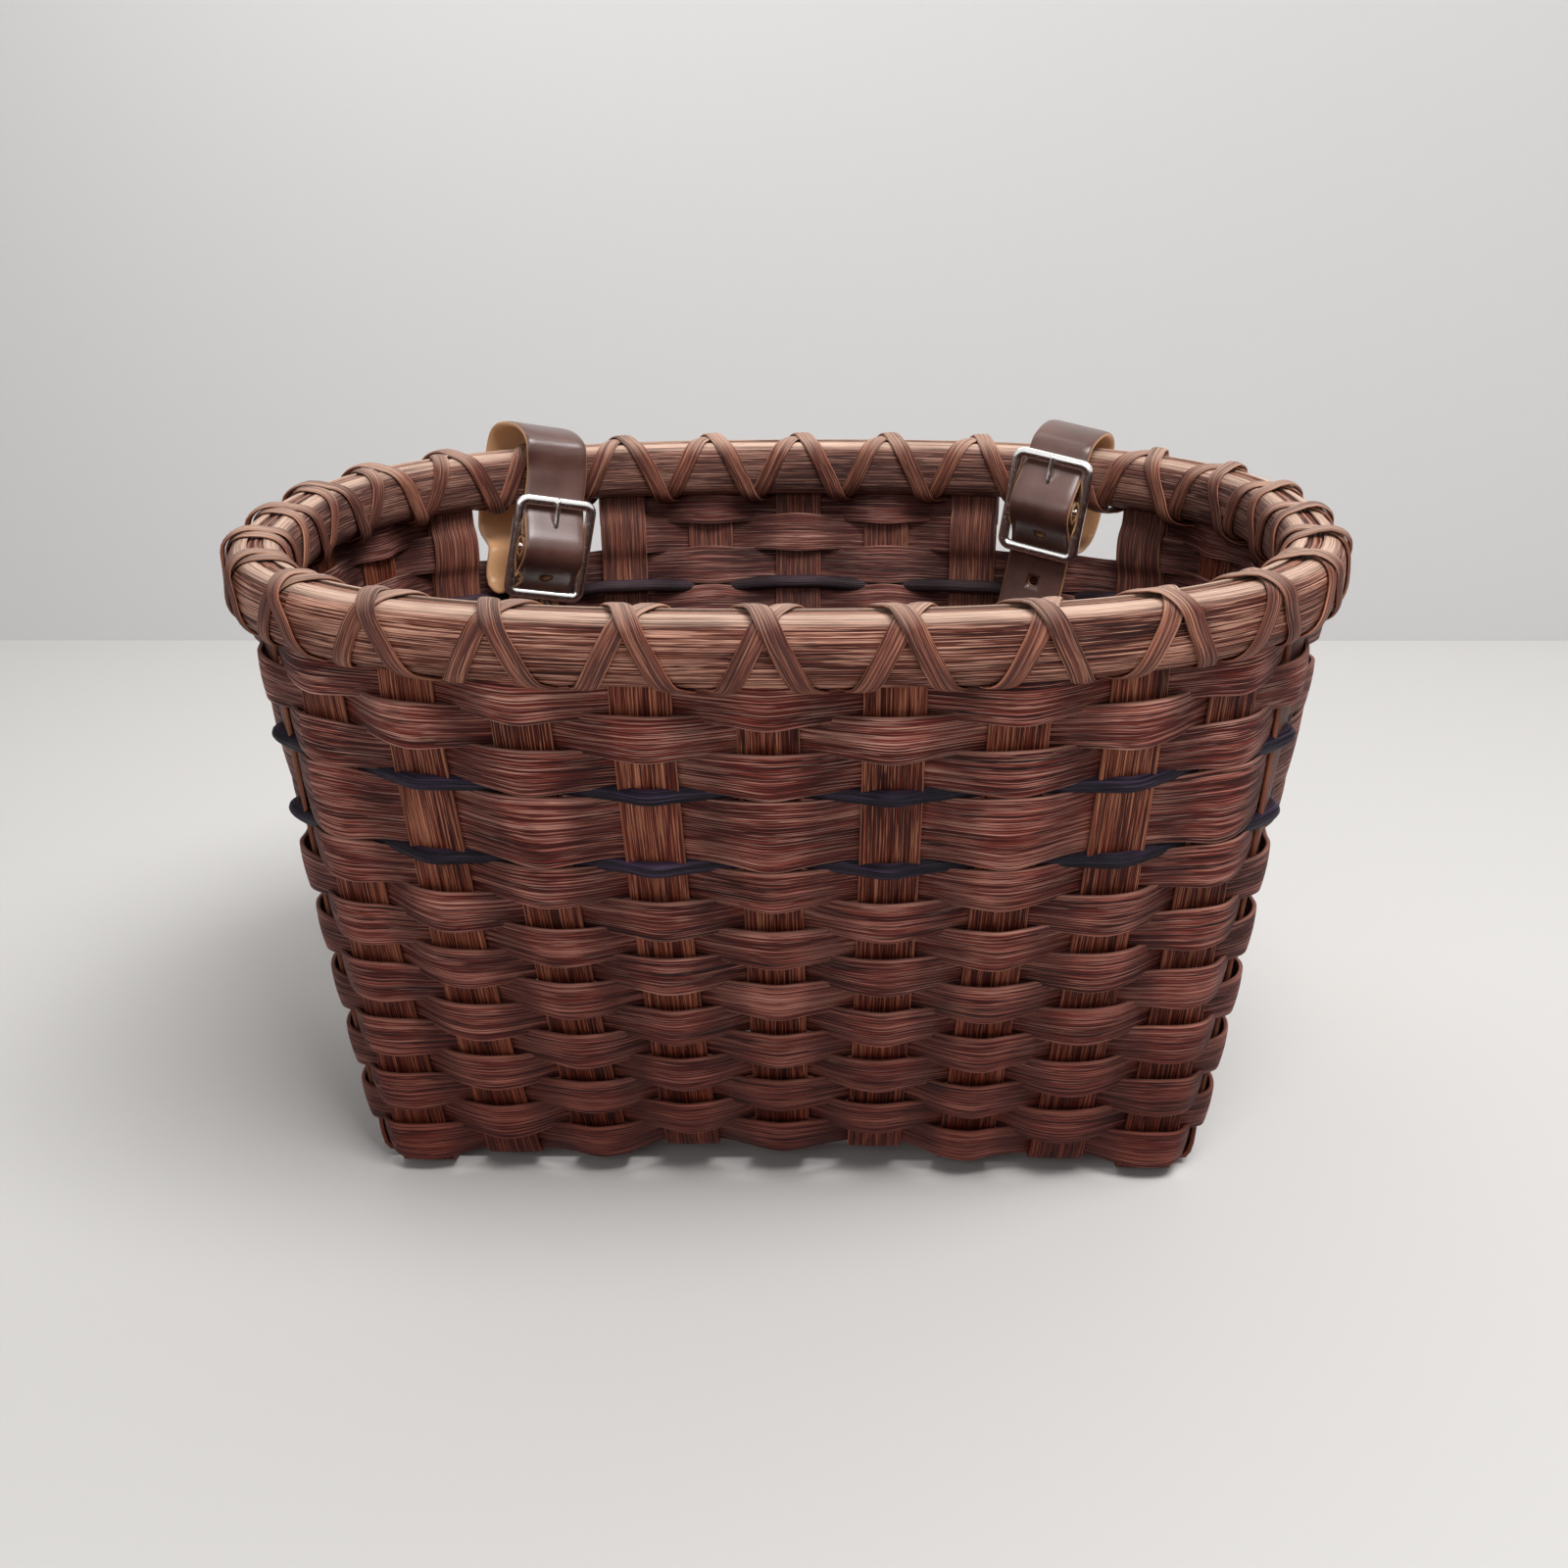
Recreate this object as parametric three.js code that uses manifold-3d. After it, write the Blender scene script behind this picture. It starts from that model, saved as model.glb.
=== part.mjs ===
// Bicycle basket: flat reed woven on upright stakes, a lashed rim and two buckled leather straps.
// Millimetres, +Z up, front towards -Y. The origin is under the middle of the basket, on the surface it stands on.
import * as THREE from 'three';
import Module from 'manifold-3d';
import { mergeVertices } from 'three/addons/utils/BufferGeometryUtils.js';

const wasm = await Module();
wasm.setup();

// Clearances
const reedGap = 0.7;
const seatGap = 0.3;
const overlayGap = 0.7;

// Stakes and base
const stakePitch = 25.4;
const sidePitch = 22;
const stakeWidth = 15.9;
const stakeThickness = 1.6;
const frontStakes = 9;
const sideStakes = 5;
const footRoom = 12.7;
const cornerDrop = 5;
const wallBow = 0.35;
const wallKnots = 5;
const overLift = 0.013;

// Rim line, through the middle of the stakes
const rimLineLength = 288;
const rimLineDepth = 219;
const rimSquareness = 2.55;
const rimTop = 176;

// Rim reeds and the filler between them
const rimHeight = 15;
const rimRound = 1;
const outerRimThickness = 5.2;
const innerRimThickness = 5;
const rimEase = 0.9;
const fillerEase = 0.4;

// Lashing
const lashWidth = 5;
const lashThickness = 1;
const lashGap = 0.4;
const outerTopShare = -0.1;
const outerLegShare = 0.265;
const innerLegShare = 0.52;
const innerTopShare = 0.8;

// Weaver rows
const weaverHeight = 8.4;
const weaverThickness = 1.5;
const wideHeight = 15.7;
const accentDiameter = 4;
const accentSides = 5;
const rowGap = 0.8;
const firstRowLift = 3.6;
const narrowRowsBelow = 11;
const narrowRowsAbove = 3;
const bendMargin = 0.5;

// Strap openings and overlay stakes
const openingRows = 2;
const stubRise = 1.2;
const strapStakes = 3;

// Straps
const strapWidth = 20;
const strapThickness = 2;
const archRise = 6;
const loopSlack = 3;
const holeDiameter = 3;
const holePitch = 18;
const holeFromTip = 14;
const tailHoles = 4;
const tailLength = 62;
const tipLength = 8;
const foldSteps = 5;
const foldAngle = 45;
const billetCrest = 2.5;
const bightRadius = 2.4;
const bightReach = 10.4;
const strapStep = 11;
const holeSides = 6;

// Buckles
const buckleWindow = 21;
const buckleHeight = 34;
const buckleWire = 3;
const buckleThickness = 2.2;
const buckleCorner = 4;
const barWidth = 2;
const barStandOff = 7.6;
const prongWidth = 1.8;
const prongThickness = 1.6;
const prongOver = 1.6;
const ringWall = 0.8;
const eyeSides = 8;
const headSides = 8;
const prongLift = 1.2;
const buckleSlack = 1.1;
const slotSide = 0.7;

// Rivets
const rivetShank = 2.2;
const rivetHead = 4.6;
const rivetHeadHeight = 0.6;
const rivetEase = 0.2;
const pairShare = 0.56;
const rivetTop = 4.9;
const rivetRoom = 6.7;

// Derived sizes
const stakeCount = 2 * (frontStakes + sideStakes);
const cornerX = ((frontStakes - 1) / 2) * stakePitch;
const cornerY = ((sideStakes - 1) / 2) * sidePitch;
const underPass = stakeThickness + reedGap;
const footLevel = underPass + stakeThickness / 2;
const baseLevel = footLevel + cornerDrop;
const weaverOffset = stakeThickness / 2 + reedGap + weaverThickness / 2;
const accentOffset = stakeThickness / 2 + reedGap + accentDiameter / 2;
const overlayOffset = stakeThickness + overlayGap;
const overlayOverRow = weaverOffset + weaverThickness / 2 + reedGap + stakeThickness / 2;
const outerRimSeat = stakeThickness / 2 + seatGap + rimEase;
const innerRimSeat = overlayOffset + stakeThickness / 2 + seatGap + rimEase;
const outerRimFace = outerRimSeat + outerRimThickness;
const innerRimFace = innerRimSeat + innerRimThickness;
const lashStack = 2 * (lashThickness + lashGap);
const channelMiddle = (outerRimSeat - innerRimSeat) / 2;
const fillerWidth = outerRimSeat + innerRimSeat - 2 * fillerEase;
const stakeTop = rimTop - fillerWidth - seatGap;

// Materials
const material = (color, roughness, metalness = 0) => new THREE.MeshStandardMaterial({ color, roughness, metalness });
const reed = material(0x6b4236, 0.6);
const wideReed = material(0x5f3a30, 0.6);
const rimReed = material(0x7a4c3a, 0.55);
const lashReed = material(0x84503c, 0.55);
const accentReed = material(0x26222e, 0.5);
const leather = material(0x4a3230, 0.45);
const nickel = material(0xc9c9c6, 0.2, 1);

const X = new THREE.Vector3(1, 0, 0);
const UP = new THREE.Vector3(0, 0, 1);
const vec = (x, y, z) => new THREE.Vector3(x, y, z);
const mix = THREE.MathUtils.lerp;

// Closed body from rings of corners: skins neighbouring rings, and caps the ends unless the rings close on themselves
function loft(rings, closed) {
  const sides = rings[0].length;
  const points = rings.flat();
  const faces = [];
  const spans = closed ? rings.length : rings.length - 1;
  for (let r = 0; r < spans; r += 1) {
    const here = r * sides;
    const next = ((r + 1) % rings.length) * sides;
    for (let s = 0; s < sides; s += 1) {
      const t = (s + 1) % sides;
      faces.push([here + s, here + t, next + t], [here + s, next + t, next + s]);
    }
  }
  if (!closed) {
    const last = (rings.length - 1) * sides;
    for (let s = 1; s < sides - 1; s += 1) {
      faces.push([0, s + 1, s], [last, last + s, last + s + 1]);
    }
  }
  const volume = faces.reduce((sum, [a, b, c]) => sum + points[a].dot(vec(0, 0, 0).crossVectors(points[b], points[c])), 0);
  const index = faces.flatMap(([a, b, c]) => (volume > 0 ? [a, b, c] : [a, c, b]));
  const geometry = new THREE.BufferGeometry();
  geometry.setAttribute('position', new THREE.Float32BufferAttribute(points.flatMap((p) => [p.x, p.y, p.z]), 3));
  geometry.setIndex(index);
  return geometry;
}

// Strip of rectangular section along stations { point, across, width }, mitred so that it keeps its thickness
function strip(stations, thickness, closed = false) {
  const count = stations.length;
  const rings = stations.map(({ point, across, width }, i) => {
    const before = stations[closed ? (i + count - 1) % count : Math.max(i - 1, 0)].point;
    const after = stations[closed ? (i + 1) % count : Math.min(i + 1, count - 1)].point;
    const inward = vec(0, 0, 0).subVectors(point, before).normalize();
    const outward = vec(0, 0, 0).subVectors(after, point).normalize();
    const along = vec(0, 0, 0).addVectors(inward, outward).normalize();
    const bend = Math.max(along.dot(inward.lengthSq() > 0 ? inward : outward), 0.6);
    const through = vec(0, 0, 0).crossVectors(across, along).normalize().multiplyScalar(thickness / 2 / bend);
    const half = across.clone().normalize().multiplyScalar(width / 2);
    return [
      point.clone().add(half).add(through),
      point.clone().sub(half).add(through),
      point.clone().sub(half).sub(through),
      point.clone().add(half).sub(through),
    ];
  });
  return loft(rings, closed);
}

// Round reed along the same kind of stations
function cord(stations, diameter, sides) {
  const count = stations.length;
  const rings = stations.map(({ point, across }, i) => {
    const before = stations[(i + count - 1) % count].point;
    const after = stations[(i + 1) % count].point;
    const along = vec(0, 0, 0).subVectors(after, before).normalize();
    const up = across.clone().addScaledVector(along, -across.dot(along)).normalize();
    const through = vec(0, 0, 0).crossVectors(up, along);
    return Array.from({ length: sides }, (_, k) => {
      const angle = (2 * Math.PI * (k + 0.5)) / sides;
      return point.clone()
        .addScaledVector(up, (Math.cos(angle) * diameter) / 2)
        .addScaledVector(through, (Math.sin(angle) * diameter) / 2);
    });
  });
  return loft(rings, true);
}

// Boolean work on closed geometries
function solid(geometry) {
  const bare = new THREE.BufferGeometry();
  bare.setAttribute('position', geometry.getAttribute('position'));
  bare.setIndex(geometry.getIndex());
  const merged = mergeVertices(bare, 1e-4);
  return new wasm.Manifold(new wasm.Mesh({
    numProp: 3,
    vertProperties: new Float32Array(merged.getAttribute('position').array),
    triVerts: new Uint32Array(merged.getIndex().array),
  }));
}

function shape(body) {
  const mesh = body.getMesh();
  const geometry = new THREE.BufferGeometry();
  geometry.setAttribute('position', new THREE.Float32BufferAttribute(mesh.vertProperties, 3));
  geometry.setIndex(Array.from(mesh.triVerts));
  return geometry;
}

// Oval that the stake tops stand on, run from the right-hand end round the back
class RimOval extends THREE.Curve {
  getPoint(t, target = new THREE.Vector3()) {
    const x = Math.cos(2 * Math.PI * t);
    const y = Math.sin(2 * Math.PI * t);
    const share = Math.abs((2 * x) / rimLineLength) ** rimSquareness + Math.abs((2 * y) / rimLineDepth) ** rimSquareness;
    const radius = share ** (-1 / rimSquareness);
    return target.set(x * radius, y * radius, rimTop);
  }
}
const rimOval = new RimOval();
rimOval.arcLengthDivisions = 2000;

// Places round the basket are counted in stakes, from the front left stake, anticlockwise seen from above
const frontMiddle = (frontStakes - 1) / 2;
function rimFrame(place) {
  const turn = (((place - frontMiddle) / stakeCount + 0.75) % 1 + 1) % 1;
  const step = 0.002;
  const ahead = rimOval.getPointAt((turn + step) % 1);
  const behind = rimOval.getPointAt((turn + 1 - step) % 1);
  const along = vec(0, 0, 0).subVectors(ahead, behind).normalize();
  return { point: rimOval.getPointAt(turn), along, out: vec(0, 0, 0).crossVectors(along, UP).normalize() };
}

// The rim reeds bend beside each stake and run straight across it, a quarter of a space to each side
const rimBends = Array.from({ length: 2 * stakeCount }, (_, n) => {
  const stake = rimFrame(Math.floor((n + 1) / 2));
  const side = n % 2 === 0 ? 1 : -1;
  const space = rimOval.getLength() / stakeCount;
  const point = stake.point.clone().addScaledVector(stake.along, (side * space) / 4);
  return { point, out: rimFrame(n / 2 + 0.25).out };
});
function rimPlace(place) {
  const span = (((place - 0.25) * 2) % rimBends.length + rimBends.length) % rimBends.length;
  const start = Math.floor(span) % rimBends.length;
  const from = rimBends[start];
  const to = rimBends[(start + 1) % rimBends.length];
  const point = vec(0, 0, 0).lerpVectors(from.point, to.point, span - Math.floor(span));
  const along = vec(0, 0, 0).subVectors(to.point, from.point).normalize();
  const out = vec(0, 0, 0).lerpVectors(from.out, to.out, span - Math.floor(span)).normalize();
  return { point, along, out };
}

// Base level of the left-to-right stakes: the four corner crossings stand lowest, and are level
const ease = (t) => (1 - Math.cos(Math.PI * Math.min(Math.abs(t), 1))) / 2;
function baseHeight(x, y) {
  return footLevel + cornerDrop * (1 - ease(x / cornerX) * ease(y / cornerY));
}

// Where each stake leaves the base, and the edge direction there
function foot(index) {
  const sideMiddle = (sideStakes - 1) / 2;
  const onRight = index - frontStakes;
  const onBack = onRight - sideStakes;
  const onLeft = onBack - frontStakes;
  const at = (x, y, alongX, alongY) => {
    const reachX = x + footRoom * alongY;
    const reachY = y - footRoom * alongX;
    return { point: vec(reachX, reachY, baseHeight(x, y)), along: vec(alongX, alongY, 0) };
  };
  if (onRight < 0) return at((index - frontMiddle) * stakePitch, -cornerY, 1, 0);
  if (onBack < 0) return at(cornerX, (onRight - sideMiddle) * sidePitch, 0, 1);
  if (onLeft < 0) return at((frontMiddle - onBack) * stakePitch, cornerY, -1, 0);
  return at(-cornerX, (sideMiddle - onLeft) * sidePitch, 0, -1);
}

// Line of one stake up the wall: it flares from the base and stands upright inside the rim
class WallLine extends THREE.Curve {
  constructor(start, end) {
    super();
    this.start = start;
    this.end = end;
  }

  getPoint(t, target = new THREE.Vector3()) {
    const rise = mix(this.start.z, this.end.z, t);
    const part = Math.min((rise - this.start.z) / (rimTop - rimHeight - this.start.z), 1);
    const spread = part * (1 + wallBow - wallBow * part);
    return target.set(
      mix(this.start.x, this.end.x, spread),
      mix(this.start.y, this.end.y, spread),
      rise,
    );
  }
}

const walls = Array.from({ length: stakeCount }, (_, index) => {
  const low = foot(index);
  const high = rimFrame(index);
  const line = new WallLine(low.point, high.point);
  const length = line.getLength();
  const rimShare = 1 - rimHeight / length;
  const knots = Array.from({ length: wallKnots }, (_, k) => line.getPointAt((rimShare * k) / (wallKnots - 1)));
  knots.push(high.point);
  return { low: low.along, high: high.along, knots, rimShare, length };
});
const wallLength = walls[frontMiddle].length;

// Point on a stake's line at a share of its length, and the frame of a strip lying there
function wallPoint(index, share) {
  const { knots, rimShare } = walls[index];
  const whole = Math.min(Math.max(share, 0), 1);
  const inRim = Math.max(whole - rimShare, 0) / (1 - rimShare);
  const place = (Math.min(whole, rimShare) / rimShare) * (wallKnots - 1) + inRim;
  const knot = Math.min(Math.floor(place), wallKnots - 1);
  return vec(0, 0, 0).lerpVectors(knots[knot], knots[knot + 1], place - knot);
}

function wallAcross(index, share) {
  const { low, high } = walls[index];
  return vec(0, 0, 0).lerpVectors(low, high, Math.min(Math.max(share, 0), 1)).normalize();
}

function wallFrame(index, share, height) {
  const half = height / 2 / wallLength;
  const top = wallPoint(index, share + half);
  const bottom = wallPoint(index, share - half);
  const up = vec(0, 0, 0).subVectors(top, bottom).normalize();
  const across = wallAcross(index, share);
  const along = across.addScaledVector(up, -across.dot(up)).normalize();
  const out = vec(0, 0, 0).crossVectors(along, up);
  return { point: vec(0, 0, 0).addVectors(top, bottom).multiplyScalar(0.5), along, up, out };
}

const basket = new THREE.Group();
function add(name, geometry, finish, parent = basket) {
  const mesh = new THREE.Mesh(geometry, finish);
  mesh.name = name;
  parent.add(mesh);
  return mesh;
}

// Stations of a stake's upright part, from the base to a height near the rim
function upright(index, top, flip, start = 0) {
  const { rimShare, length } = walls[index];
  const stations = [];
  const station = (share) => {
    const across = wallAcross(index, share).multiplyScalar(flip);
    stations.push({ point: wallPoint(index, share), across, width: stakeWidth });
  };
  const last = 1 - (rimTop - top) / length;
  for (let k = 0; k < wallKnots; k += 1) {
    const share = (rimShare * k) / (wallKnots - 1);
    if (share < last) station(Math.max(share, start));
  }
  station(last);
  return stations;
}

// Rows from the base up: middle of each row above the base, along the wall
const rows = [];
let level = firstRowLift;
function addRow(height, kind) {
  rows.push({ middle: level + height / 2, height, kind });
  level += height + rowGap;
}
for (let r = 0; r < narrowRowsBelow; r += 1) addRow(weaverHeight, 'narrow');
addRow(accentDiameter, 'accent');
addRow(wideHeight, 'wide');
addRow(accentDiameter, 'accent');
for (let r = 0; r < narrowRowsAbove; r += 1) addRow(weaverHeight, 'narrow');
rows.reverse();
const openingSill = rows[openingRows].middle + rows[openingRows].height / 2;

// Front-to-back stakes pass over and under the left-to-right ones in the base
const cutStakes = [frontMiddle - strapStakes, frontMiddle + strapStakes];
const stubTop = (index) => rimTop - walls[index].length * (1 - (openingSill + stubRise) / wallLength);
for (let s = 0; s < frontStakes; s += 1) {
  const x = (s - frontMiddle) * stakePitch;
  const front = s;
  const back = 2 * frontStakes + sideStakes - 1 - s;
  const backTop = cutStakes.includes(s) ? stubTop(back) : stakeTop;
  const start = s % 2 === 0 ? 0 : overLift;
  const stations = upright(front, stakeTop, 1, start).reverse();
  for (let c = 0; c < sideStakes; c += 1) {
    const y = (c - (sideStakes - 1) / 2) * sidePitch;
    const side = (s + c) % 2 === 0 ? -1 : 1;
    const z = baseHeight(x, y) + side * underPass;
    const corner = s === 0 || s === frontStakes - 1;
    const slope = corner ? 0 : baseHeight(x + stakePitch, y) - baseHeight(x - stakePitch, y);
    const across = vec(2 * stakePitch, 0, slope);
    for (const edge of [-1, 1]) {
      stations.push({ point: vec(x, y + edge * (stakeWidth / 2 + bendMargin), z), across, width: stakeWidth });
    }
  }
  stations.push(...upright(back, backTop, -1, start));
  add(`stake_front_back_${s + 1}`, strip(stations, stakeThickness), reed);
}

// Left-to-right stakes run level through the base
for (let c = 0; c < sideStakes; c += 1) {
  const y = (c - (sideStakes - 1) / 2) * sidePitch;
  const left = stakeCount - 1 - c;
  const right = frontStakes + c;
  const across = vec(0, 1, 0);
  const stations = upright(left, stakeTop, -1).reverse();
  const level = (x) => stations.push({ point: vec(x, y, baseHeight(x, y)), across, width: stakeWidth });
  level(-cornerX - stakeWidth / 2 - bendMargin);
  for (let s = 0; s < frontStakes; s += 1) level((s - frontMiddle) * stakePitch);
  level(cornerX + stakeWidth / 2 + bendMargin);
  stations.push(...upright(right, stakeTop, 1));
  add(`stake_left_right_${c + 1}`, strip(stations, stakeThickness), reed);
}

// A weaver lies outside every other stake and inside the next, one row opposite to the row beside it
const backMiddle = frontStakes + sideStakes + frontMiddle;
const openingEdges = [-strapStakes - 1, -strapStakes + 1, strapStakes - 1, strapStakes + 1].map((n) => backMiddle + n);
function weaverStations(row, number, first, last) {
  const accent = row.kind === 'accent';
  const share = row.middle / wallLength;
  const stations = [];
  for (let n = first; n <= last; n += 1) {
    const index = n % stakeCount;
    const side = (index + number) % 2 === 1 ? 1 : -1;
    const overOverlay = accent && side < 0 && number === narrowRowsAbove + 1 && openingEdges.includes(index);
    const lift = (accent ? accentOffset : weaverOffset) + (overOverlay ? overlayOffset : 0);
    const frame = wallFrame(index, share, row.height);
    for (const edge of [-1, 1]) {
      const point = frame.point.clone().addScaledVector(frame.out, side * lift);
      point.addScaledVector(frame.along, edge * (stakeWidth / 2 + bendMargin));
      stations.push({ point, across: frame.up, width: row.height });
    }
  }
  return stations;
}

rows.forEach((row, r) => {
  const number = r + 1;
  const finish = { accent: accentReed, wide: wideReed, narrow: reed }[row.kind];
  if (number > openingRows) {
    const ring = weaverStations(row, number, 0, stakeCount - 1);
    const body = row.kind === 'accent' ? cord(ring, accentDiameter, accentSides) : strip(ring, weaverThickness, true);
    add(`weaver_row_${number}`, body, finish);
    return;
  }
  const [rightEnd, rightStart, leftEnd, leftStart] = openingEdges;
  const long = weaverStations(row, number, leftStart, rightEnd + stakeCount);
  const short = weaverStations(row, number, rightStart, leftEnd);
  add(`weaver_row_${number}`, strip(long, weaverThickness), finish);
  add(`weaver_row_${number}_back`, strip(short, weaverThickness), finish);
});

// Overlay stakes cover the cut row ends, from the rim down to behind the upper accent row
openingEdges.forEach((index, n) => {
  const coveredRow = rows[openingRows - 1];
  const lowRow = rows[narrowRowsAbove];
  const reach = coveredRow.height / 2 + rowGap / 2;
  const stops = [
    { at: (lowRow.middle - lowRow.height / 2) / wallLength, lift: overlayOffset },
    { at: (coveredRow.middle - reach - weaverHeight / 2) / wallLength, lift: overlayOffset },
    { at: (coveredRow.middle - reach) / wallLength, lift: overlayOverRow },
    { at: (coveredRow.middle + reach) / wallLength, lift: overlayOverRow },
    { at: (coveredRow.middle + reach + weaverHeight / 2) / wallLength, lift: overlayOffset },
    { at: walls[index].rimShare, lift: overlayOffset },
    { at: 1 - (rimTop - stakeTop) / walls[index].length, lift: overlayOffset },
  ];
  const stations = stops.map(({ at, lift }) => {
    const frame = wallFrame(index, at, weaverHeight / 4);
    return { point: wallPoint(index, at).addScaledVector(frame.out, -lift), across: frame.along, width: stakeWidth };
  });
  add(`overlay_stake_${n + 1}`, strip(stations, stakeThickness), reed);
});

// Rim reeds and filler: one section carried round the rim line
function ringOf(section) {
  const rings = rimBends.map(({ point, out }) => (
    section.map(([reach, drop]) => point.clone().addScaledVector(out, reach).addScaledVector(UP, -drop))
  ));
  return loft(rings, true);
}
const reedSection = (seat, face) => [
  [seat, 0],
  [face, rimRound],
  [face, rimHeight - rimRound],
  [seat, rimHeight],
];
add('rim_outer', ringOf(reedSection(outerRimSeat, outerRimFace)), rimReed);
add('rim_inner', ringOf(reedSection(-innerRimSeat, -innerRimFace)), rimReed);
add('rim_filler', ringOf([
  [channelMiddle, 0],
  [channelMiddle + fillerWidth / 2, fillerWidth / 2],
  [channelMiddle, fillerWidth],
  [channelMiddle - fillerWidth / 2, fillerWidth / 2],
]), lashReed);

// One lashing pass: a turn for each stake, over the rim at the stake and under it between two stakes
function lashing(layer, hand) {
  const lift = lashGap + lashThickness / 2 + layer * (lashThickness + lashGap);
  const outside = outerRimFace + lift;
  const inside = -innerRimFace - lift;
  const turn = [
    { share: outerTopShare, reach: outside, drop: -lift },
    { share: outerLegShare, reach: outside, drop: rimHeight + lift },
    { share: innerLegShare, reach: inside, drop: rimHeight + lift },
    { share: innerTopShare, reach: inside, drop: -lift },
  ];
  const stations = [];
  for (let n = 0; n < stakeCount; n += 1) {
    for (const { share, reach, drop } of turn) {
      const { point, along, out } = rimPlace(hand * (n + share));
      point.addScaledVector(out, reach).addScaledVector(UP, -drop);
      stations.push({ point, across: along, width: lashWidth });
    }
  }
  return strip(stations, lashThickness, true);
}
add('lashing_first_pass', lashing(0, -1), lashReed);
add('lashing_second_pass', lashing(1, 1), lashReed);

// Straps: x across, y out of the basket, z up, with the origin on the buckle's centre bar
const insideFace = -(innerRimFace + lashStack);
const outsideFace = outerRimFace + lashStack;
const barOut = insideFace - barStandOff;
const barHalf = Math.hypot(barWidth, buckleThickness) / 2;
const foldRadius = barHalf + seatGap + strapThickness / 2;
const pairSpace = strapThickness + seatGap;
const billetOver = foldRadius + pairSpace + seatGap;
const billetUnder = buckleThickness / 2 + buckleSlack + strapThickness / 2;
const windowReach = (buckleHeight - buckleWire) / 2;
const windowEnd = windowReach - buckleWire / 2;
const pairSlope = pairShare * ((billetOver + billetUnder) / (windowEnd - billetCrest));
const pairReach = pairSpace * Math.hypot(1, pairSlope) + rivetEase;
const openingTop = -(rimHeight + lashStack);
const sillPoint = wallPoint(openingEdges[0], openingSill / wallLength);
const sillOut = rimFrame(openingEdges[0]);
const sill = sillPoint.z - rimTop;
const sillReach = sillPoint.clone().sub(sillOut.point).dot(sillOut.out);

// Strap sides: drop of the centre bar below the rim, sag of the loop inside, sideways shift and lean
const straps = [
  { name: 'right', index: backMiddle - strapStakes, drop: 13, sag: 0, shift: 0, lean: 9, swing: 19 },
  { name: 'left', index: backMiddle + strapStakes, drop: 27, sag: 11, shift: -7, lean: 12, swing: 18 },
];

// Middle line of one strap, from the flap's end round the bar, out, over the rim and back to the tail's tip
function strapLine({ drop, sag, shift, swing }) {
  const points = [];
  const bar = (y, z) => points.push(vec(0, y, z));
  const rim = (y, z, x = shift) => points.push(vec(x, y - barOut, z + drop));
  const outer = outsideFace + loopSlack + strapThickness / 2;
  const inner = insideFace - seatGap - strapThickness;
  const low = sill + loopSlack + strapThickness / 2;
  const high = lashStack + archRise;
  const flapTop = foldRadius + pairSlope * rivetTop;
  const flapEnd = foldRadius + pairSlope * (rivetTop + rivetRoom);
  bar(flapEnd, -rivetTop - rivetRoom);
  bar(flapTop, -rivetTop);
  for (let a = 0; a <= foldSteps; a += 1) {
    const angle = THREE.MathUtils.degToRad(a * foldAngle);
    bar(Math.cos(angle) * foldRadius, Math.sin(angle) * foldRadius);
  }
  bar(flapTop - pairReach, -rivetTop);
  bar(flapEnd - pairReach, -rivetTop - rivetRoom);
  if (sag > 0) {
    for (const side of [-1, 0, 1]) {
      const rise = bightRadius * (1 - Math.cos(side));
      rim(sillReach + side * bightRadius - bightReach, low - sag + rise, (shift * (side + 2)) / 3);
    }
    rim(sillReach - bightReach / 2, low - bightRadius / 2);
  }
  rim(sillReach, low);
  rim(outsideFace, low + bightRadius);
  rim(outer, openingTop);
  rim(outer, -rimHeight / 2);
  rim(outsideFace + strapThickness, high / 2);
  rim(0, high, shift / 2);
  rim(insideFace - strapThickness / 2, high - bightRadius, shift / 4);
  if (drop > windowReach) rim(inner, -lashStack, 0);
  bar(billetUnder, windowEnd);
  bar(-billetOver, billetCrest);
  bar(-billetOver, -billetCrest);
  bar(billetUnder, -windowEnd);
  bar(billetUnder - swing / 4, -windowReach - tailLength / 2);
  bar(billetUnder - swing, -windowReach - tailLength);
  return new THREE.CatmullRomCurve3(points, false, 'centripetal');
}

// Strap solid: the strip with its rounded tip, punched holes, prong slot and rivet hole
const slotWidth = prongWidth + 2 * slotSide;
const prongBack = -(buckleThickness / 2 + seatGap);
const prongFront = prongBack - prongThickness;
const ringReach = barHalf + seatGap + ringWall;
function block(x, fromY, toY, fromZ, toZ) {
  const geometry = new THREE.BoxGeometry(x, toY - fromY, toZ - fromZ);
  return solid(geometry.translate(0, (fromY + toY) / 2, (fromZ + toZ) / 2));
}

// Round bar of some sides along a direction in the strap's side plane
function rod(radius, length, sides, centre, direction) {
  const geometry = new THREE.CylinderGeometry(radius, radius, length, sides);
  geometry.applyQuaternion(new THREE.Quaternion().setFromUnitVectors(vec(0, 1, 0), direction.clone().normalize()));
  return solid(geometry.translate(centre.x, centre.y, centre.z));
}

const pairTurn = vec(0, 1, pairSlope).normalize();
const rivetMiddle = vec(
  0,
  foldRadius + pairSlope * (rivetTop + rivetRoom / 2) - pairReach / 2,
  -rivetTop - rivetRoom / 2,
);
const rivetGrip = pairReach * pairTurn.y + strapThickness + 2 * rivetEase;

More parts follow.
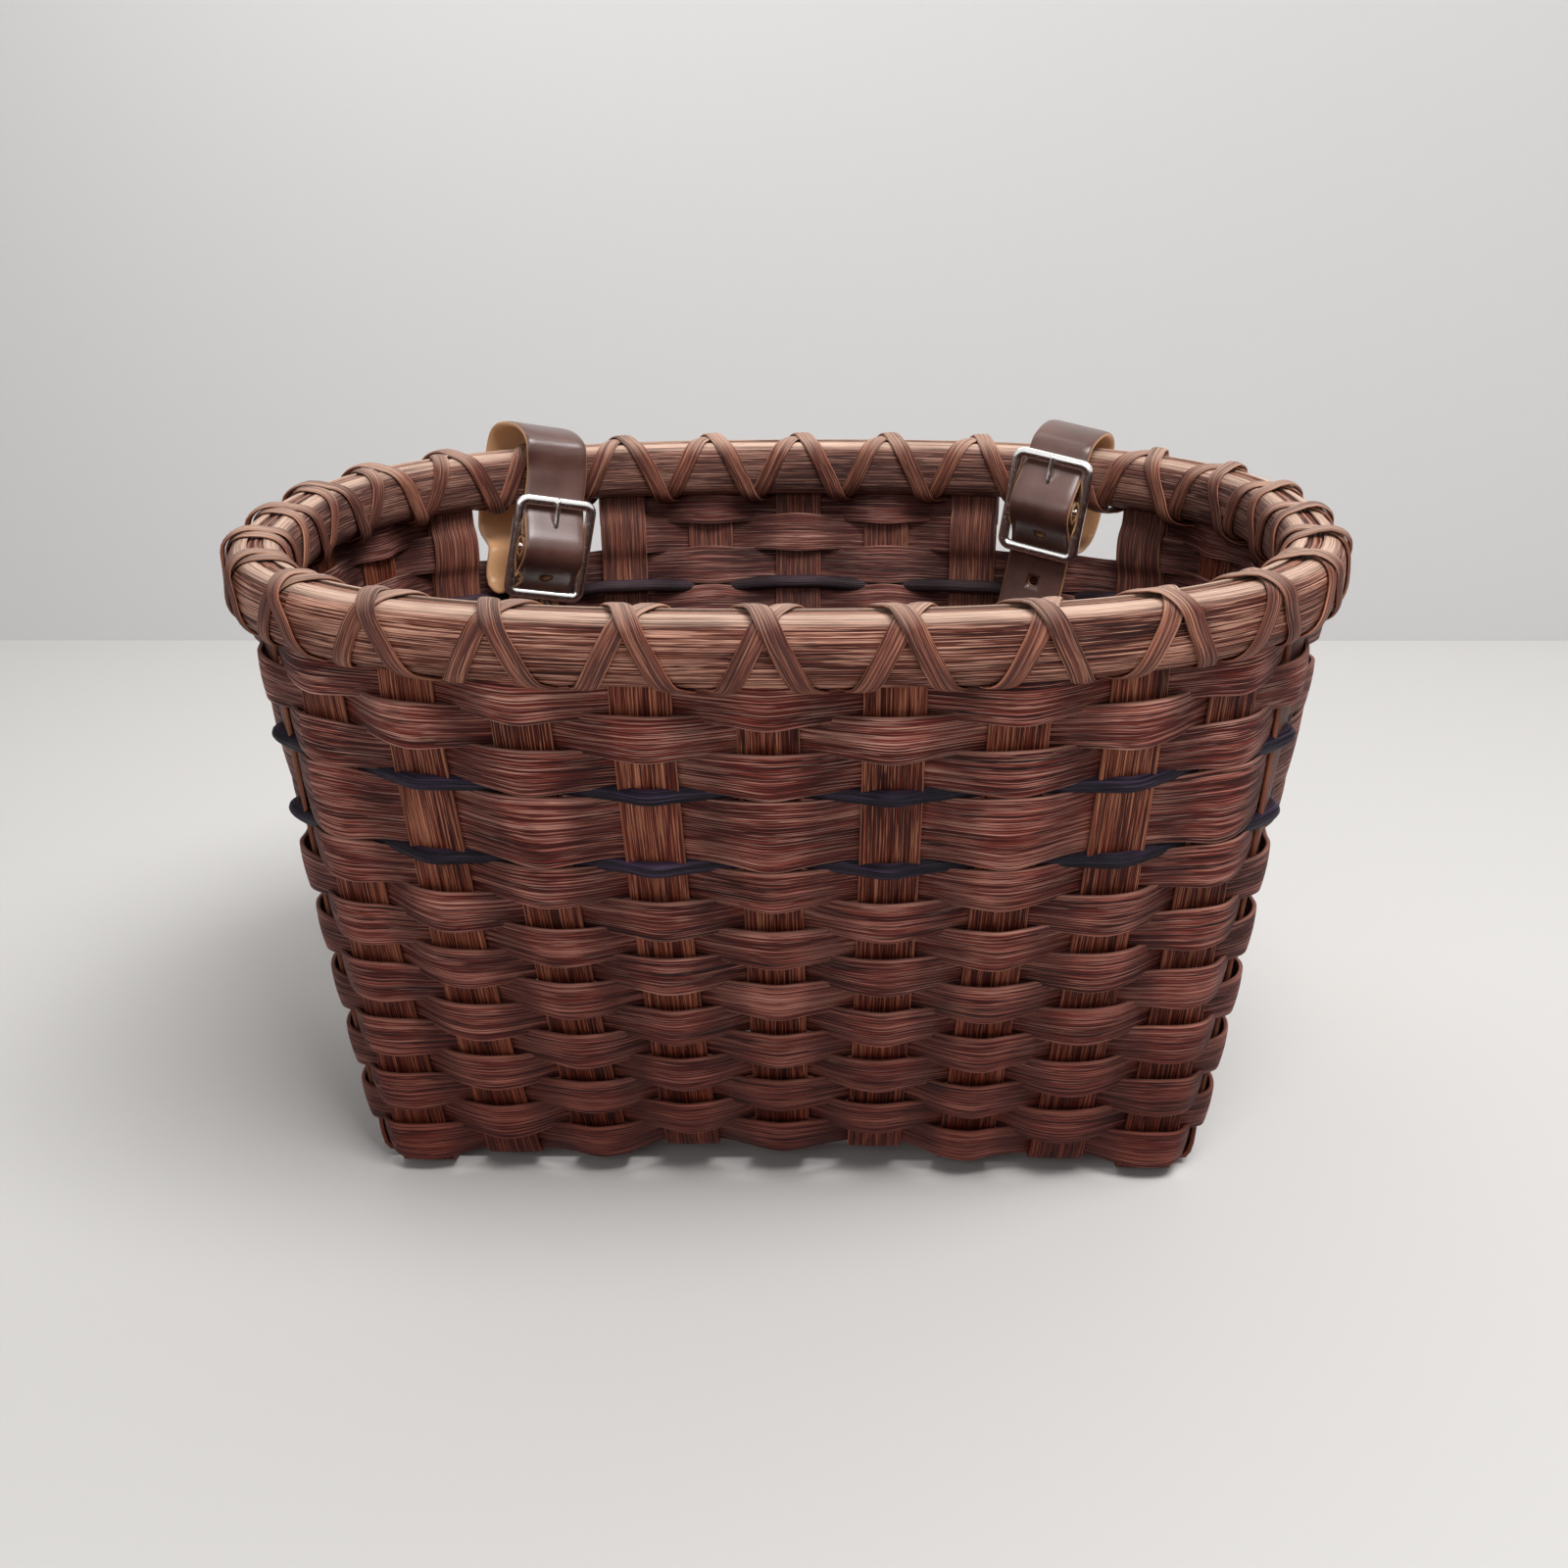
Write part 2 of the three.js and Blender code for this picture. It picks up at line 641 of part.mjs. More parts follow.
function strapSolid(line) {
  const length = line.getLength();
  const spans = line.points.length - 1;
  const stations = [];
  const station = (point, width) => stations.push({ point, across: X, width });
  for (let n = 0; n < spans; n += 1) {
    const reach = line.points[n].distanceTo(line.points[n + 1]);
    const steps = Math.max(1, Math.round(reach / strapStep));
    for (let k = 0; k < steps; k += 1) station(line.getPoint((n + k / steps) / spans), strapWidth);
  }
  for (const share of [1, 0.7, 0.35, 0]) {
    const width = strapWidth * Math.sqrt(1 - (1 - share) ** 2 * 0.85);
    station(line.getPointAt(1 - (share * tipLength) / length), width);
  }
  let body = solid(strip(stations, strapThickness));
  for (let n = 0; n < tailHoles; n += 1) {
    const turn = 1 - (holeFromTip + n * holePitch) / length;
    const normal = vec(0, 0, 0).crossVectors(X, line.getTangentAt(turn));
    body = body.subtract(rod(holeDiameter / 2, 2 * strapThickness, holeSides, line.getPointAt(turn), normal));
  }
  const foldReach = foldRadius + strapThickness / 2 + seatGap / 2;
  const prongRoom = prongFront - prongLift - seatGap;
  body = body.subtract(block(slotWidth, -foldReach, foldReach, -ringReach - seatGap, foldReach));
  body = body.subtract(block(slotWidth, prongRoom, prongBack + prongLift / 2, barHalf, windowReach - buckleWire));
  return body.subtract(rod(rivetShank / 2 + rivetEase, rivetGrip, holeSides, rivetMiddle, pairTurn));
}

// Buckle: a frame with rounded corners and two windows, which leave the centre bar between them
function buckleFrame() {
  const half = buckleWindow / 2;
  const right = half + buckleWire - buckleCorner;
  const high = buckleHeight / 2 - buckleCorner;
  const frame = new THREE.Shape();
  [[right, high], [-right, high], [-right, -high], [right, -high]].forEach(([x, z], n) => {
    frame.absarc(x, z, buckleCorner, (n * Math.PI) / 2, ((n + 1) * Math.PI) / 2);
  });
  const far = buckleHeight / 2 - buckleWire;
  for (const side of [-1, 1]) {
    const near = (side * barWidth) / 2;
    const corners = [[-half, near], [half, near], [half, side * far], [-half, side * far]];
    frame.holes.push(new THREE.Path(corners.map(([x, z]) => new THREE.Vector2(x, z))));
  }
  const geometry = new THREE.ExtrudeGeometry(frame, { depth: buckleThickness, bevelEnabled: false, curveSegments: 2 });
  return geometry.rotateX(Math.PI / 2).translate(0, buckleThickness / 2, 0);
}

// Prong: an eye round the centre bar and a tongue that lies on the top bar
function prong() {
  const tongue = block(prongWidth, prongFront, prongBack, 0, windowReach + prongOver);
  const eye = rod(ringReach, prongWidth, eyeSides, vec(0, 0, 0), X);
  const bore = rod(barHalf + seatGap, prongWidth * 2, eyeSides, vec(0, 0, 0), X);
  return shape(eye.add(tongue).subtract(bore));
}

// Rivet: a shank through both layers of the fold, with a head on each side
function rivet() {
  let body = rod(rivetShank / 2, rivetGrip + rivetHeadHeight, holeSides, rivetMiddle, pairTurn);
  for (const end of [-1, 1]) {
    const centre = rivetMiddle.clone().addScaledVector(pairTurn, (end * (rivetGrip + rivetHeadHeight)) / 2);
    body = body.add(rod(rivetHead / 2, rivetHeadHeight, headSides, centre, pairTurn));
  }
  return shape(body);
}

for (const side of straps) {
  const { point, out } = rimFrame(side.index);
  const place = new THREE.Group();
  place.position.copy(point).addScaledVector(out, barOut).addScaledVector(UP, -side.drop);
  place.rotation.z = Math.atan2(-out.x, out.y);
  const tilt = new THREE.Group();
  tilt.rotation.y = THREE.MathUtils.degToRad(side.lean);
  place.add(tilt);
  basket.add(place);
  add(`strap_${side.name}`, shape(strapSolid(strapLine(side))), leather, tilt);
  add(`buckle_frame_${side.name}`, buckleFrame(), nickel, tilt);
  add(`buckle_prong_${side.name}`, prong(), nickel, tilt);
  add(`strap_rivet_${side.name}`, rivet(), nickel, tilt);
}

export default basket;
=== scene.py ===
# Bicycle basket: stained flat reed woven on stakes, a lashed rim and two buckled leather straps.
# Sizes are in millimetres until a mesh is made. The front faces -Y and up is +Z, as in the frame.
import bisect
import math
import random

import bmesh
import bpy
from mathutils import Matrix, Vector


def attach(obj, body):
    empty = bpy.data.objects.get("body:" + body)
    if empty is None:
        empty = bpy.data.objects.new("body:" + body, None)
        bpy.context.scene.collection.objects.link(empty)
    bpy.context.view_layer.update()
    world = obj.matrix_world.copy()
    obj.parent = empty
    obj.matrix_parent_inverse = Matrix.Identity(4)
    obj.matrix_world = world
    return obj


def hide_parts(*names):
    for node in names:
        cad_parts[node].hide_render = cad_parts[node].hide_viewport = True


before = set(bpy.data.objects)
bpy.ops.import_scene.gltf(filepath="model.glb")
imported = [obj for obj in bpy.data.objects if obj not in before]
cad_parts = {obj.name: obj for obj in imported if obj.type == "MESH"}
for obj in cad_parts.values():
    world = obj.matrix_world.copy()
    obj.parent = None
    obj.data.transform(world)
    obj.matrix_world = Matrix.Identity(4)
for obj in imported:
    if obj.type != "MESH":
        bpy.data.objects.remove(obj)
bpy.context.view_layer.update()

MM = 0.001
UP = Vector((0, 0, 1))
ACROSS = Vector((1, 0, 0))

# Stakes and base
STAKE_PITCH = 25.4
SIDE_PITCH = 22
STAKE_WIDTH = 14.8
STAKE_THICKNESS = 1.6
STAKE_EDGE = 1.2
FRONT_STAKES = 9
SIDE_STAKES = 5
STAKES = 2 * (FRONT_STAKES + SIDE_STAKES)
FRONT_MIDDLE = (FRONT_STAKES - 1) // 2
BACK_MIDDLE = FRONT_STAKES + SIDE_STAKES + FRONT_MIDDLE
FOOT_ROOM = 12.7
FOOT_LEVEL = 3.4
CORNER_DROP = 5
UNDER_PASS = 2.3
PASS_REACH = 0.35
PASS_SHOULDER = 0.9
OVER_LIFT = 0.013
WALL_BOW = 0.35

# Rim
RIM_LENGTH = 288
RIM_DEPTH = 219
RIM_SQUARENESS = 2.55
RIM_TOP = 176
RIM_HEIGHT = 15
RIM_RISE = 2.5
RIM_ROUND = 0.7
OUTER_SEAT = 1.6
OUTER_FACE = 7.4
INNER_SEAT = 3.6
INNER_FACE = 9.0
FILLER_WIDTH = 6.4
FILLER_HEIGHT = 4.6
FILLER_SINK = 2.6
# Where the rim top is painted pale: wear and a painted highlight
RIM_WEAR_HIGHLIGHT_FROM = 0.72
RIM_WEAR_HIGHLIGHT_FADE = 0.26
STAKE_TOP = 170.2

# Lashing: places along the rim, in stakes, where a turn reaches each corner of the rim bundle
LASH_WIDTH = 5.2
LASH_THICKNESS = 1.2
LASH_EDGE = 0.6
LASH_STEPS = 36
OUTER_BOTTOM = 0.30
OUTER_TOP = 0.0
INNER_TOP = -0.16
INNER_BOTTOM = -0.48
LASH_DRIFT = 0.02
FRONT_SPREAD = 0.055
SPREAD_FULL = 3
SPREAD_END = 6
CROSSING_FLAT = 2.5
CROSSING_SLOPE = 6
# Where the tops of the lashing turns are painted pale: wear and a painted highlight
LASH_WEAR_HIGHLIGHT_FROM = 0.55
LASH_WEAR_HIGHLIGHT_FADE = 0.45

# Weaver rows, from the base up
NARROW_HEIGHT = 8.4
WIDE_HEIGHT = 15.7
ACCENT_HEIGHT = 4
ROW_GAP = 0.8
FIRST_ROW_LIFT = 3.6
ROW_STRETCH = 1.028
NARROW_BELOW = 11
NARROW_ABOVE = 3
NARROW_WIDTH = 12.5
WIDE_WIDTH = 21
ACCENT_WIDTH = 4.2
ACCENT_SINK = 1.3
ACCENT_TUCK = 2.2
ACCENT_COVER = 0.9
ACCENT_DROP = 0.9
WEAVER_THICKNESS = 1.8
WEAVER_EDGE = 1.1
WEAVER_CROWN = 1.4
CROWN_VARY = 0.2
WEAVER_END_LIFT = 0.05
# Painted shade where two weaver rows cross
CROSSING_SHADE_FROM = 0.4
CROSSING_SHADE_FADE = 0.6
WEAVER_TUCK = 0.11
STAKE_SHARE = 0.29
WIDTH_RISE = 0.04
WIDTH_LEVEL = 0.4
WEAVER_DRIFT = 0.22

# Strap openings
STRAP_STAKES = 3
OPENING_ROWS = 2
STUB_RISE = 1.2
OVERLAY_LIFT = 2.3
OVERLAY_OVER_ROW = 4.5
OVERLAY_EASE = 0.2
OVERLAY_SHOULDER = 0.9

# Straps
STRAP_WIDTH = 20
STRAP_THICKNESS = 2
HOLE_DIAMETER = 3.4
HOLE_PITCH = 18
HOLE_FROM_TIP = 19
TAIL_HOLES = 4
TIP_LENGTH = 8
TIP_TAPER = 0.85
HOLE_RIM = 0.7
ROUND_SIDES = 20
FOLD_STEPS = 6
FOLD_ANGLE = 45
SILL_ROOM = 4
BAR_OUT = -19.7
FOLD_RADIUS = 2.787
PAIR_SLOPE = 0.418
PAIR_REACH = 2.69
RIVET_TOP = 4.9
RIVET_ROOM = 6.7
WINDOW_REACH = 15.5
WINDOW_END = 14
BILLET_OVER = 5.387
BILLET_UNDER = 3.2
BILLET_CREST = 2.5
BIGHT_RADIUS = 2.4
BIGHT_REACH = 10.4
TAIL_LENGTH = 62
LOOP_OUT = 14
LOOP_IN = -14.4
LOOP_HIGH = 8.8
OUTSIDE_FACE = 10.0
INSIDE_FACE = -12.1
LASH_STACK = 2.8
OPENING_TOP = -17.8

# Buckles
BUCKLE_WINDOW = 20.4
BUCKLE_HEIGHT = 34
BUCKLE_WIRE = 3.3
BUCKLE_THICKNESS = 2.5
BUCKLE_CORNER = 4
BAR_DIAMETER = 2.2
PRONG_WIDTH = 1.8
PRONG_THICKNESS = 1.5
PRONG_LEVEL = -2.2
PRONG_BOW = 0.2
PRONG_STEPS = 4
PRONG_TAPER = [0.95, 0.85, 0.7, 0.45]
PRONG_SHARES = (0.18, 0.36)
EYE_ROOM = 1.35
EYE_STEPS = 8
EYE_ANGLE = 40
EYE_START = -190
RIVET_RADIUS = 2.3
RIVET_GRIP = 4.9


# The rim line, at equal lengths along a squared oval; a place counts stakes from the front left corner
OVAL_STEPS = 1440
FRONT_TURN = 0.75
PLACE_NUDGE = 0.1


def oval_point(step):
    angle = 2 * math.pi * step / OVAL_STEPS
    x = math.cos(angle)
    y = math.sin(angle)
    share = abs(2 * x / RIM_LENGTH) ** RIM_SQUARENESS + abs(2 * y / RIM_DEPTH) ** RIM_SQUARENESS
    reach = share ** (-1 / RIM_SQUARENESS)
    return Vector((x * reach, y * reach, RIM_TOP))


def lengths(points):
    run = [0.0]
    for here, there in zip(points, points[1:]):
        run.append(run[-1] + (there - here).length)
    return run


def point_at(points, run, length):
    n = min(max(bisect.bisect_right(run, length) - 1, 0), len(points) - 2)
    return points[n].lerp(points[n + 1], (length - run[n]) / (run[n + 1] - run[n]))


oval = [oval_point(step) for step in range(OVAL_STEPS + 1)]
oval_run = lengths(oval)


def rim_point(place):
    turn = ((place - FRONT_MIDDLE) / STAKES + FRONT_TURN) % 1
    return point_at(oval, oval_run, turn * oval_run[-1])


def rim_frame(place):
    along = (rim_point(place + PLACE_NUDGE) - rim_point(place - PLACE_NUDGE)).normalized()
    return rim_point(place), along, along.cross(UP)


# Base: the four corner crossings stand lowest
half_x = (FRONT_STAKES - 1) / 2 * STAKE_PITCH
half_y = (SIDE_STAKES - 1) / 2 * SIDE_PITCH


def ease(t):
    return (1 - math.cos(math.pi * min(abs(t), 1))) / 2


def base_height(x, y):
    return FOOT_LEVEL + CORNER_DROP * (1 - ease(x / half_x) * ease(y / half_y))


# Sides of the base in turn: the stakes on each, and the direction along it
base_sides = [(FRONT_STAKES, 1, 0), (SIDE_STAKES, 0, 1), (FRONT_STAKES, -1, 0), (SIDE_STAKES, 0, -1)]


# Where each stake leaves the base, and the edge direction there
def foot(index):
    for count, along_x, along_y in base_sides:
        if index < count:
            break
        index -= count
    run = (index - (count - 1) / 2) * (STAKE_PITCH if along_x else SIDE_PITCH)
    x = along_x * run + along_y * half_x
    y = along_y * run - along_x * half_y
    point = Vector((x + FOOT_ROOM * along_y, y - FOOT_ROOM * along_x, base_height(x, y)))
    return point, Vector((along_x, along_y, 0))


# Walls: each stake flares from the base with a slight bow, and stands upright inside the rim
WALL_STEPS = 48
SHARE_NUDGE = 0.02


def wall_line(index):
    low, _ = foot(index)
    high, _, _ = rim_frame(index)
    points = []
    for step in range(WALL_STEPS + 1):
        rise = low.z + (high.z - low.z) * step / WALL_STEPS
        part = min((rise - low.z) / (RIM_TOP - RIM_HEIGHT - low.z), 1)
        point = low.lerp(high, part * (1 + WALL_BOW - WALL_BOW * part))
        point.z = rise
        points.append(point)
    return points, lengths(points)


walls = [wall_line(index) for index in range(STAKES)]


def wall_point(index, share):
    points, run = walls[index % STAKES]
    return point_at(points, run, share * run[-1])


def wall_frame(index, share):
    low_along = foot(index % STAKES)[1]
    high_along = rim_frame(index % STAKES)[1]
    along = low_along.lerp(high_along, share).normalized()
    up = (wall_point(index, share + SHARE_NUDGE) - wall_point(index, share - SHARE_NUDGE)).normalized()
    out = along.cross(up).normalized()
    return wall_point(index, share), along, up, out


wall_length = walls[FRONT_MIDDLE][1][-1]


# A smooth line through key points, with the same number of steps between each two
SHORTEST = 1e-4


def spline(keys, closed, steps):
    count = len(keys)
    path = []
    for n in range(count if closed else count - 1):
        b = keys[n]
        c = keys[(n + 1) % count]
        a = keys[n - 1] if closed or n else b * 2 - c
        d = keys[(n + 2) % count] if closed or n + 2 < count else c * 2 - b
        t1 = max((b - a).length, SHORTEST) ** 0.5
        t2 = t1 + max((c - b).length, SHORTEST) ** 0.5
        t3 = t2 + max((d - c).length, SHORTEST) ** 0.5
        for k in range(steps):
            t = t1 + (t2 - t1) * k / steps
            ab = a.lerp(b, t / t1)
            bc = b.lerp(c, (t - t1) / (t2 - t1))
            cd = c.lerp(d, (t - t2) / (t3 - t2))
            abc = ab.lerp(bc, t / t2)
            bcd = bc.lerp(cd, (t - t1) / (t3 - t1))
            path.append(abc.lerp(bcd, (t - t1) / (t2 - t1)))
    if not closed:
        path.append(keys[-1].copy())
    return path


# Values spread evenly between the same key points
def blend(values, closed, steps):
    count = len(values)
    path = []
    for n in range(count if closed else count - 1):
        for k in range(steps):
            path.append(values[n] + (values[(n + 1) % count] - values[n]) * (k / steps))
    if not closed:
        path.append(values[-1])
    return path


# Sections: pairs of a place across the strip and a place through it
def flat_section(width, thickness, edge, columns, squareness):
    face = []
    for n in range(columns):
        u = -math.cos(math.pi * n / (columns - 1))
        crown = edge + (thickness - edge) * (1 - u * u)
        face.append((u * width / 2, crown / 2 * max(1 - abs(u) ** squareness, 0) ** 0.5))
    return face + [(a, -rise) for a, rise in face[-2:0:-1]]


# Split reed keeps the flat cut edges that a rounded strip loses
def reed_section(width, thickness, edge, columns=11):
    face = []
    for n in range(columns):
        u = -math.cos(math.pi * n / (columns - 1))
        face.append((u * width / 2, (edge + (thickness - edge) * (1 - u * u)) / 2))
    return face + [(a, -rise) for a, rise in reversed(face)]


def round_section(width, height, sides=14):
    angles = [2 * math.pi * n / sides for n in range(sides)]
    return [(math.cos(angle) * width / 2, math.sin(angle) * height / 2) for angle in angles]


# The rim bundle: outer and inner reed and filler, seen as one rounded block
bundle_middle = (OUTER_FACE - INNER_FACE) / 2
bundle_half = (OUTER_FACE + INNER_FACE) / 2
bundle_tall = (RIM_HEIGHT + RIM_RISE) / 2
bundle_level = RIM_RISE - bundle_tall


def bundle(angle, lift):
    c = math.cos(math.radians(angle))
    s = math.sin(math.radians(angle))
    reach = bundle_middle + math.copysign(abs(c) ** RIM_ROUND, c) * (bundle_half + lift)
    height = math.copysign(abs(s) ** RIM_ROUND, s) * (bundle_tall + lift)
    return reach, height


# Half-round reed: a flat seat and the round face of the bundle
RIM_SIDES = 22
RIM_FACE_ANGLE = 164
SEAT_SHARES = (0.9, 0.3, -0.3, -0.9)


def half_round_section(middle, seat):
    points = []
    for n in range(RIM_SIDES + 1):
        reach, height = bundle(middle + RIM_FACE_ANGLE * (n / RIM_SIDES - 0.5), 0)
        points.append((height, -reach))
    return points + [(points[-1][0] * share, -seat) for share in SEAT_SHARES]


# An empty mesh with the layers that the materials read
def new_mesh():
    bm = bmesh.new()
    bm.loops.layers.uv.new("strip")
    for name in ("tone", "edge", "skin", "wear_and_highlight", "crossing_shade"):
        bm.verts.layers.float.new(name)
    return bm


# One strip: a grid wrapped round the section and led along the path, welded shut
STRIP_WELD = 1e-7


def add_strip(bm, points, across, section, closed=False, tone=0.5, swell=None, wear_and_highlight=None, crossing_shade=None):
    uv = bm.loops.layers.uv["strip"]
    tones = bm.verts.layers.float["tone"]
    edges = bm.verts.layers.float["edge"]
    skins = bm.verts.layers.float["skin"]
    wear_and_highlights = bm.verts.layers.float["wear_and_highlight"]
    crossing_shades = bm.verts.layers.float["crossing_shade"]
    count = len(points)
    columns = len(section)
    rows = count if closed else count - 1
    half = max(abs(a) for a, _ in section)
    thick = max(abs(t) for _, t in section)
    run = lengths(points + points[:1] if closed else points)
    ring = [Vector((a, t, 0)) for a, t in section]
    girth = lengths(ring + ring[:1])
    frames = []
    for n in range(count):
        before = points[n - 1] if closed or n else points[n]
        after = points[(n + 1) % count] if closed or n + 1 < count else points[n]
        along = (after - before).normalized()
        through = across[n].cross(along).normalized()
        frames.append((along.cross(through), through))
    made = bmesh.ops.create_grid(bm, x_segments=rows, y_segments=columns, size=0.5)["verts"]
    place = {}
    for vert in made:
        row = round((vert.co.x + 0.5) * rows)
        column = round((vert.co.y + 0.5) * columns)
        place[vert] = (row, column)
        n = row % count
        a, t = section[column % columns]
        side, through = frames[n]
        size = swell[n] if swell else 1
        vert.co = (points[n] + side * (a * size) + through * t) * MM
        vert[tones] = tone
        vert[edges] = abs(a) / half
        vert[skins] = 0.5 - 0.5 * t / thick
        vert[wear_and_highlights] = wear_and_highlight(n, a) if wear_and_highlight else 0
        vert[crossing_shades] = crossing_shade[n] if crossing_shade else 0
    for face in {face for vert in made for face in vert.link_faces}:
        face.smooth = True
        for loop in face.loops:
            row, column = place[loop.vert]
            loop[uv].uv = (run[row] * MM, girth[column] * MM)
    bmesh.ops.remove_doubles(bm, verts=made, dist=STRIP_WELD)
    if not closed:
        ends = [edge for edge in bm.edges if edge.is_boundary]
        bmesh.ops.holes_fill(bm, edges=ends, sides=0)


# A finished piece that rides on a body and stands for a node
def add_piece(name, bm, finish, body, node):
    bmesh.ops.recalc_face_normals(bm, faces=bm.faces[:])
    mesh = bpy.data.meshes.new(name)
    bm.to_mesh(mesh)
    bm.free()
    mesh.materials.append(finish)
    piece = bpy.data.objects.new(name, mesh)
    bpy.context.scene.collection.objects.link(piece)
    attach(piece, body)
    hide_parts(node)
    return piece


# Each piece took the stain a little differently
def tone_of(name):
    return random.Random(name).random()


# Materials: sRGB hex codes are made linear here
def colour(code):
    parts = [int(code[n:n + 2], 16) / 255 for n in (1, 3, 5)]
    linear = [part / 12.92 if part <= 0.04045 else ((part + 0.055) / 1.055) ** 2.4 for part in parts]
    return (*linear, 1)


def new_material(name):
    material = bpy.data.materials.new(name)
    material.use_nodes = True
    material.node_tree.nodes.clear()
    return material, material.node_tree


# Adds a node, sets its properties, and sets or links its inputs
def add_node(tree, kind, inputs=None, stops=None, **settings):
    node = tree.nodes.new(kind)
    for key, value in settings.items():
        setattr(node, key, value)
    for key, value in (inputs or {}).items():
        if isinstance(value, bpy.types.NodeSocket):
            tree.links.new(value, node.inputs[key])
        else:
            node.inputs[key].default_value = value
    for n, (position, shade) in enumerate(stops or []):
        ramp = node.color_ramp.elements
        stop = ramp[n] if n < 2 else ramp.new(position)
        stop.position = position
        stop.color = shade
    return node


# Flat reed, split and stained: the eye gets long fibre lines, pale on the ridges with a painted highlight,
# and dark in the pores
# Layers are a length and width in mm and a detail; hair-thin glints, painted highlights along the fibres, are
# drawn at 0.4 mm, as fine as the render shows
# Pale colour for the tops of rim and lashing: wear and a painted highlight
BLEACHED_AND_HIGHLIGHT = "#F2CDB6"
# Painted shade: darker and redder towards the bottom of the wall
LOW_PAINTED_SHADE = "#B48A80"
# Painted light: a paler, greyer colour for the inner faces, as the lit inside of the basket
INNER_PAINTED_LIGHT = "#6A5450"
REED_ROUGH = 0.66
REED_SMOOTH = 0.46


def reed(name, dark, mid, light, glint, streak, gloss=0.0):
    material, tree = new_material(name)
    strip = add_node(tree, "ShaderNodeUVMap", uv_map="strip")
    tone = add_node(tree, "ShaderNodeAttribute", attribute_name="tone")
    edge = add_node(tree, "ShaderNodeAttribute", attribute_name="edge")
    shift = add_node(tree, "ShaderNodeCombineXYZ", {"X": tone.outputs["Fac"], "Y": tone.outputs["Fac"]})
    moved = add_node(
        tree, "ShaderNodeVectorMath", {0: strip.outputs["UV"], 1: shift.outputs[0]}, operation="ADD")
    layers = []
    for length, width, detail in (
            (90, streak, 3), (25, streak * 0.4, 2), (50, 8, 2), (9, streak * 0.6, 1), (22, 0.4, 2)):
        size = (1000 / length, 1000 / width, 1)
        scaled = add_node(
            tree, "ShaderNodeVectorMath", {0: moved.outputs[0], 1: size}, operation="MULTIPLY")
        layers.append(add_node(
            tree, "ShaderNodeTexNoise",
            {"Vector": scaled.outputs[0], "Scale": 1, "Detail": detail, "Roughness": 0.6},
            noise_dimensions="2D"))
    streaks, fibres, patches, flecks, hair_glints = layers
    lines = add_node(
        tree, "ShaderNodeMath", {0: fibres.outputs["Fac"], 1: 0.7, 2: streaks.outputs["Fac"]},
        operation="MULTIPLY_ADD")
    patched = add_node(
        tree, "ShaderNodeMath", {0: patches.outputs["Fac"], 1: 0.5, 2: lines.outputs[0]},
        operation="MULTIPLY_ADD")
    toned = add_node(
        tree, "ShaderNodeMath", {0: tone.outputs["Fac"], 1: 0.08, 2: patched.outputs[0]},
        operation="MULTIPLY_ADD")
    grain = add_node(
        tree, "ShaderNodeMapRange",
        {"Value": toned.outputs[0], "From Min": 0.85, "From Max": 1.43, "To Min": 0.0, "To Max": 1.0})
    body = add_node(
        tree, "ShaderNodeValToRGB", {"Fac": grain.outputs[0]},
        [(0.06, colour(dark)), (0.97, colour(glint)), (0.42, colour(mid)), (0.68, colour(light))])
    pore = add_node(
        tree, "ShaderNodeMapRange",
        {"Value": flecks.outputs["Fac"], "From Min": 0.6, "From Max": 0.7, "To Min": 0.0, "To Max": 0.7})
    pored = add_node(
        tree, "ShaderNodeMix", {0: pore.outputs[0], 6: body.outputs[0], 7: colour(dark)}, data_type="RGBA")
    # Painted highlight: hair-thin fibre lines are mixed towards the glint colour
    hair_glint = add_node(
        tree, "ShaderNodeMapRange",
        {"Value": hair_glints.outputs["Fac"], "From Min": 0.58, "From Max": 0.64, "To Min": 0.0, "To Max": 0.65})
    hair_glinted = add_node(
        tree, "ShaderNodeMix", {0: hair_glint.outputs[0], 6: pored.outputs[2], 7: colour(glint)}, data_type="RGBA")
    # Strip edges are painted paler towards the glint colour: wear and a painted highlight
    paler = add_node(
        tree, "ShaderNodeMapRange",
        {"Value": edge.outputs["Fac"], "From Min": 0.95, "From Max": 0.99, "To Min": 0.0, "To Max": 0.5})
    edge_highlighted = add_node(
        tree, "ShaderNodeMix", {0: paler.outputs[0], 6: hair_glinted.outputs[2], 7: colour(glint)}, data_type="RGBA")
    place = add_node(tree, "ShaderNodeTexCoord")
    axes = add_node(tree, "ShaderNodeSeparateXYZ", {0: place.outputs["Object"]})
    # Painted shade: the colour is made darker and redder towards the bottom of the wall
    low = add_node(
        tree, "ShaderNodeMapRange",
        {"Value": axes.outputs["Z"], "From Min": 0.01, "From Max": 0.14, "To Min": 1.0, "To Max": 0.0})
    low_shaded = add_node(
        tree, "ShaderNodeMix", {0: low.outputs[0], 6: edge_highlighted.outputs[2], 7: colour(LOW_PAINTED_SHADE)},
        data_type="RGBA", blend_type="MULTIPLY")
    # Painted light: the inner faces of the strips are made paler and greyer, as the lit inside
    skin = add_node(tree, "ShaderNodeAttribute", attribute_name="skin")
    inner = add_node(
        tree, "ShaderNodeMapRange",
        {"Value": skin.outputs["Fac"], "From Min": 0.5, "From Max": 0.2, "To Min": 0.0, "To Max": 0.3})
    inner_lit = add_node(
        tree, "ShaderNodeMix", {0: inner.outputs[0], 6: low_shaded.outputs[2], 7: colour(INNER_PAINTED_LIGHT)},
        data_type="RGBA")
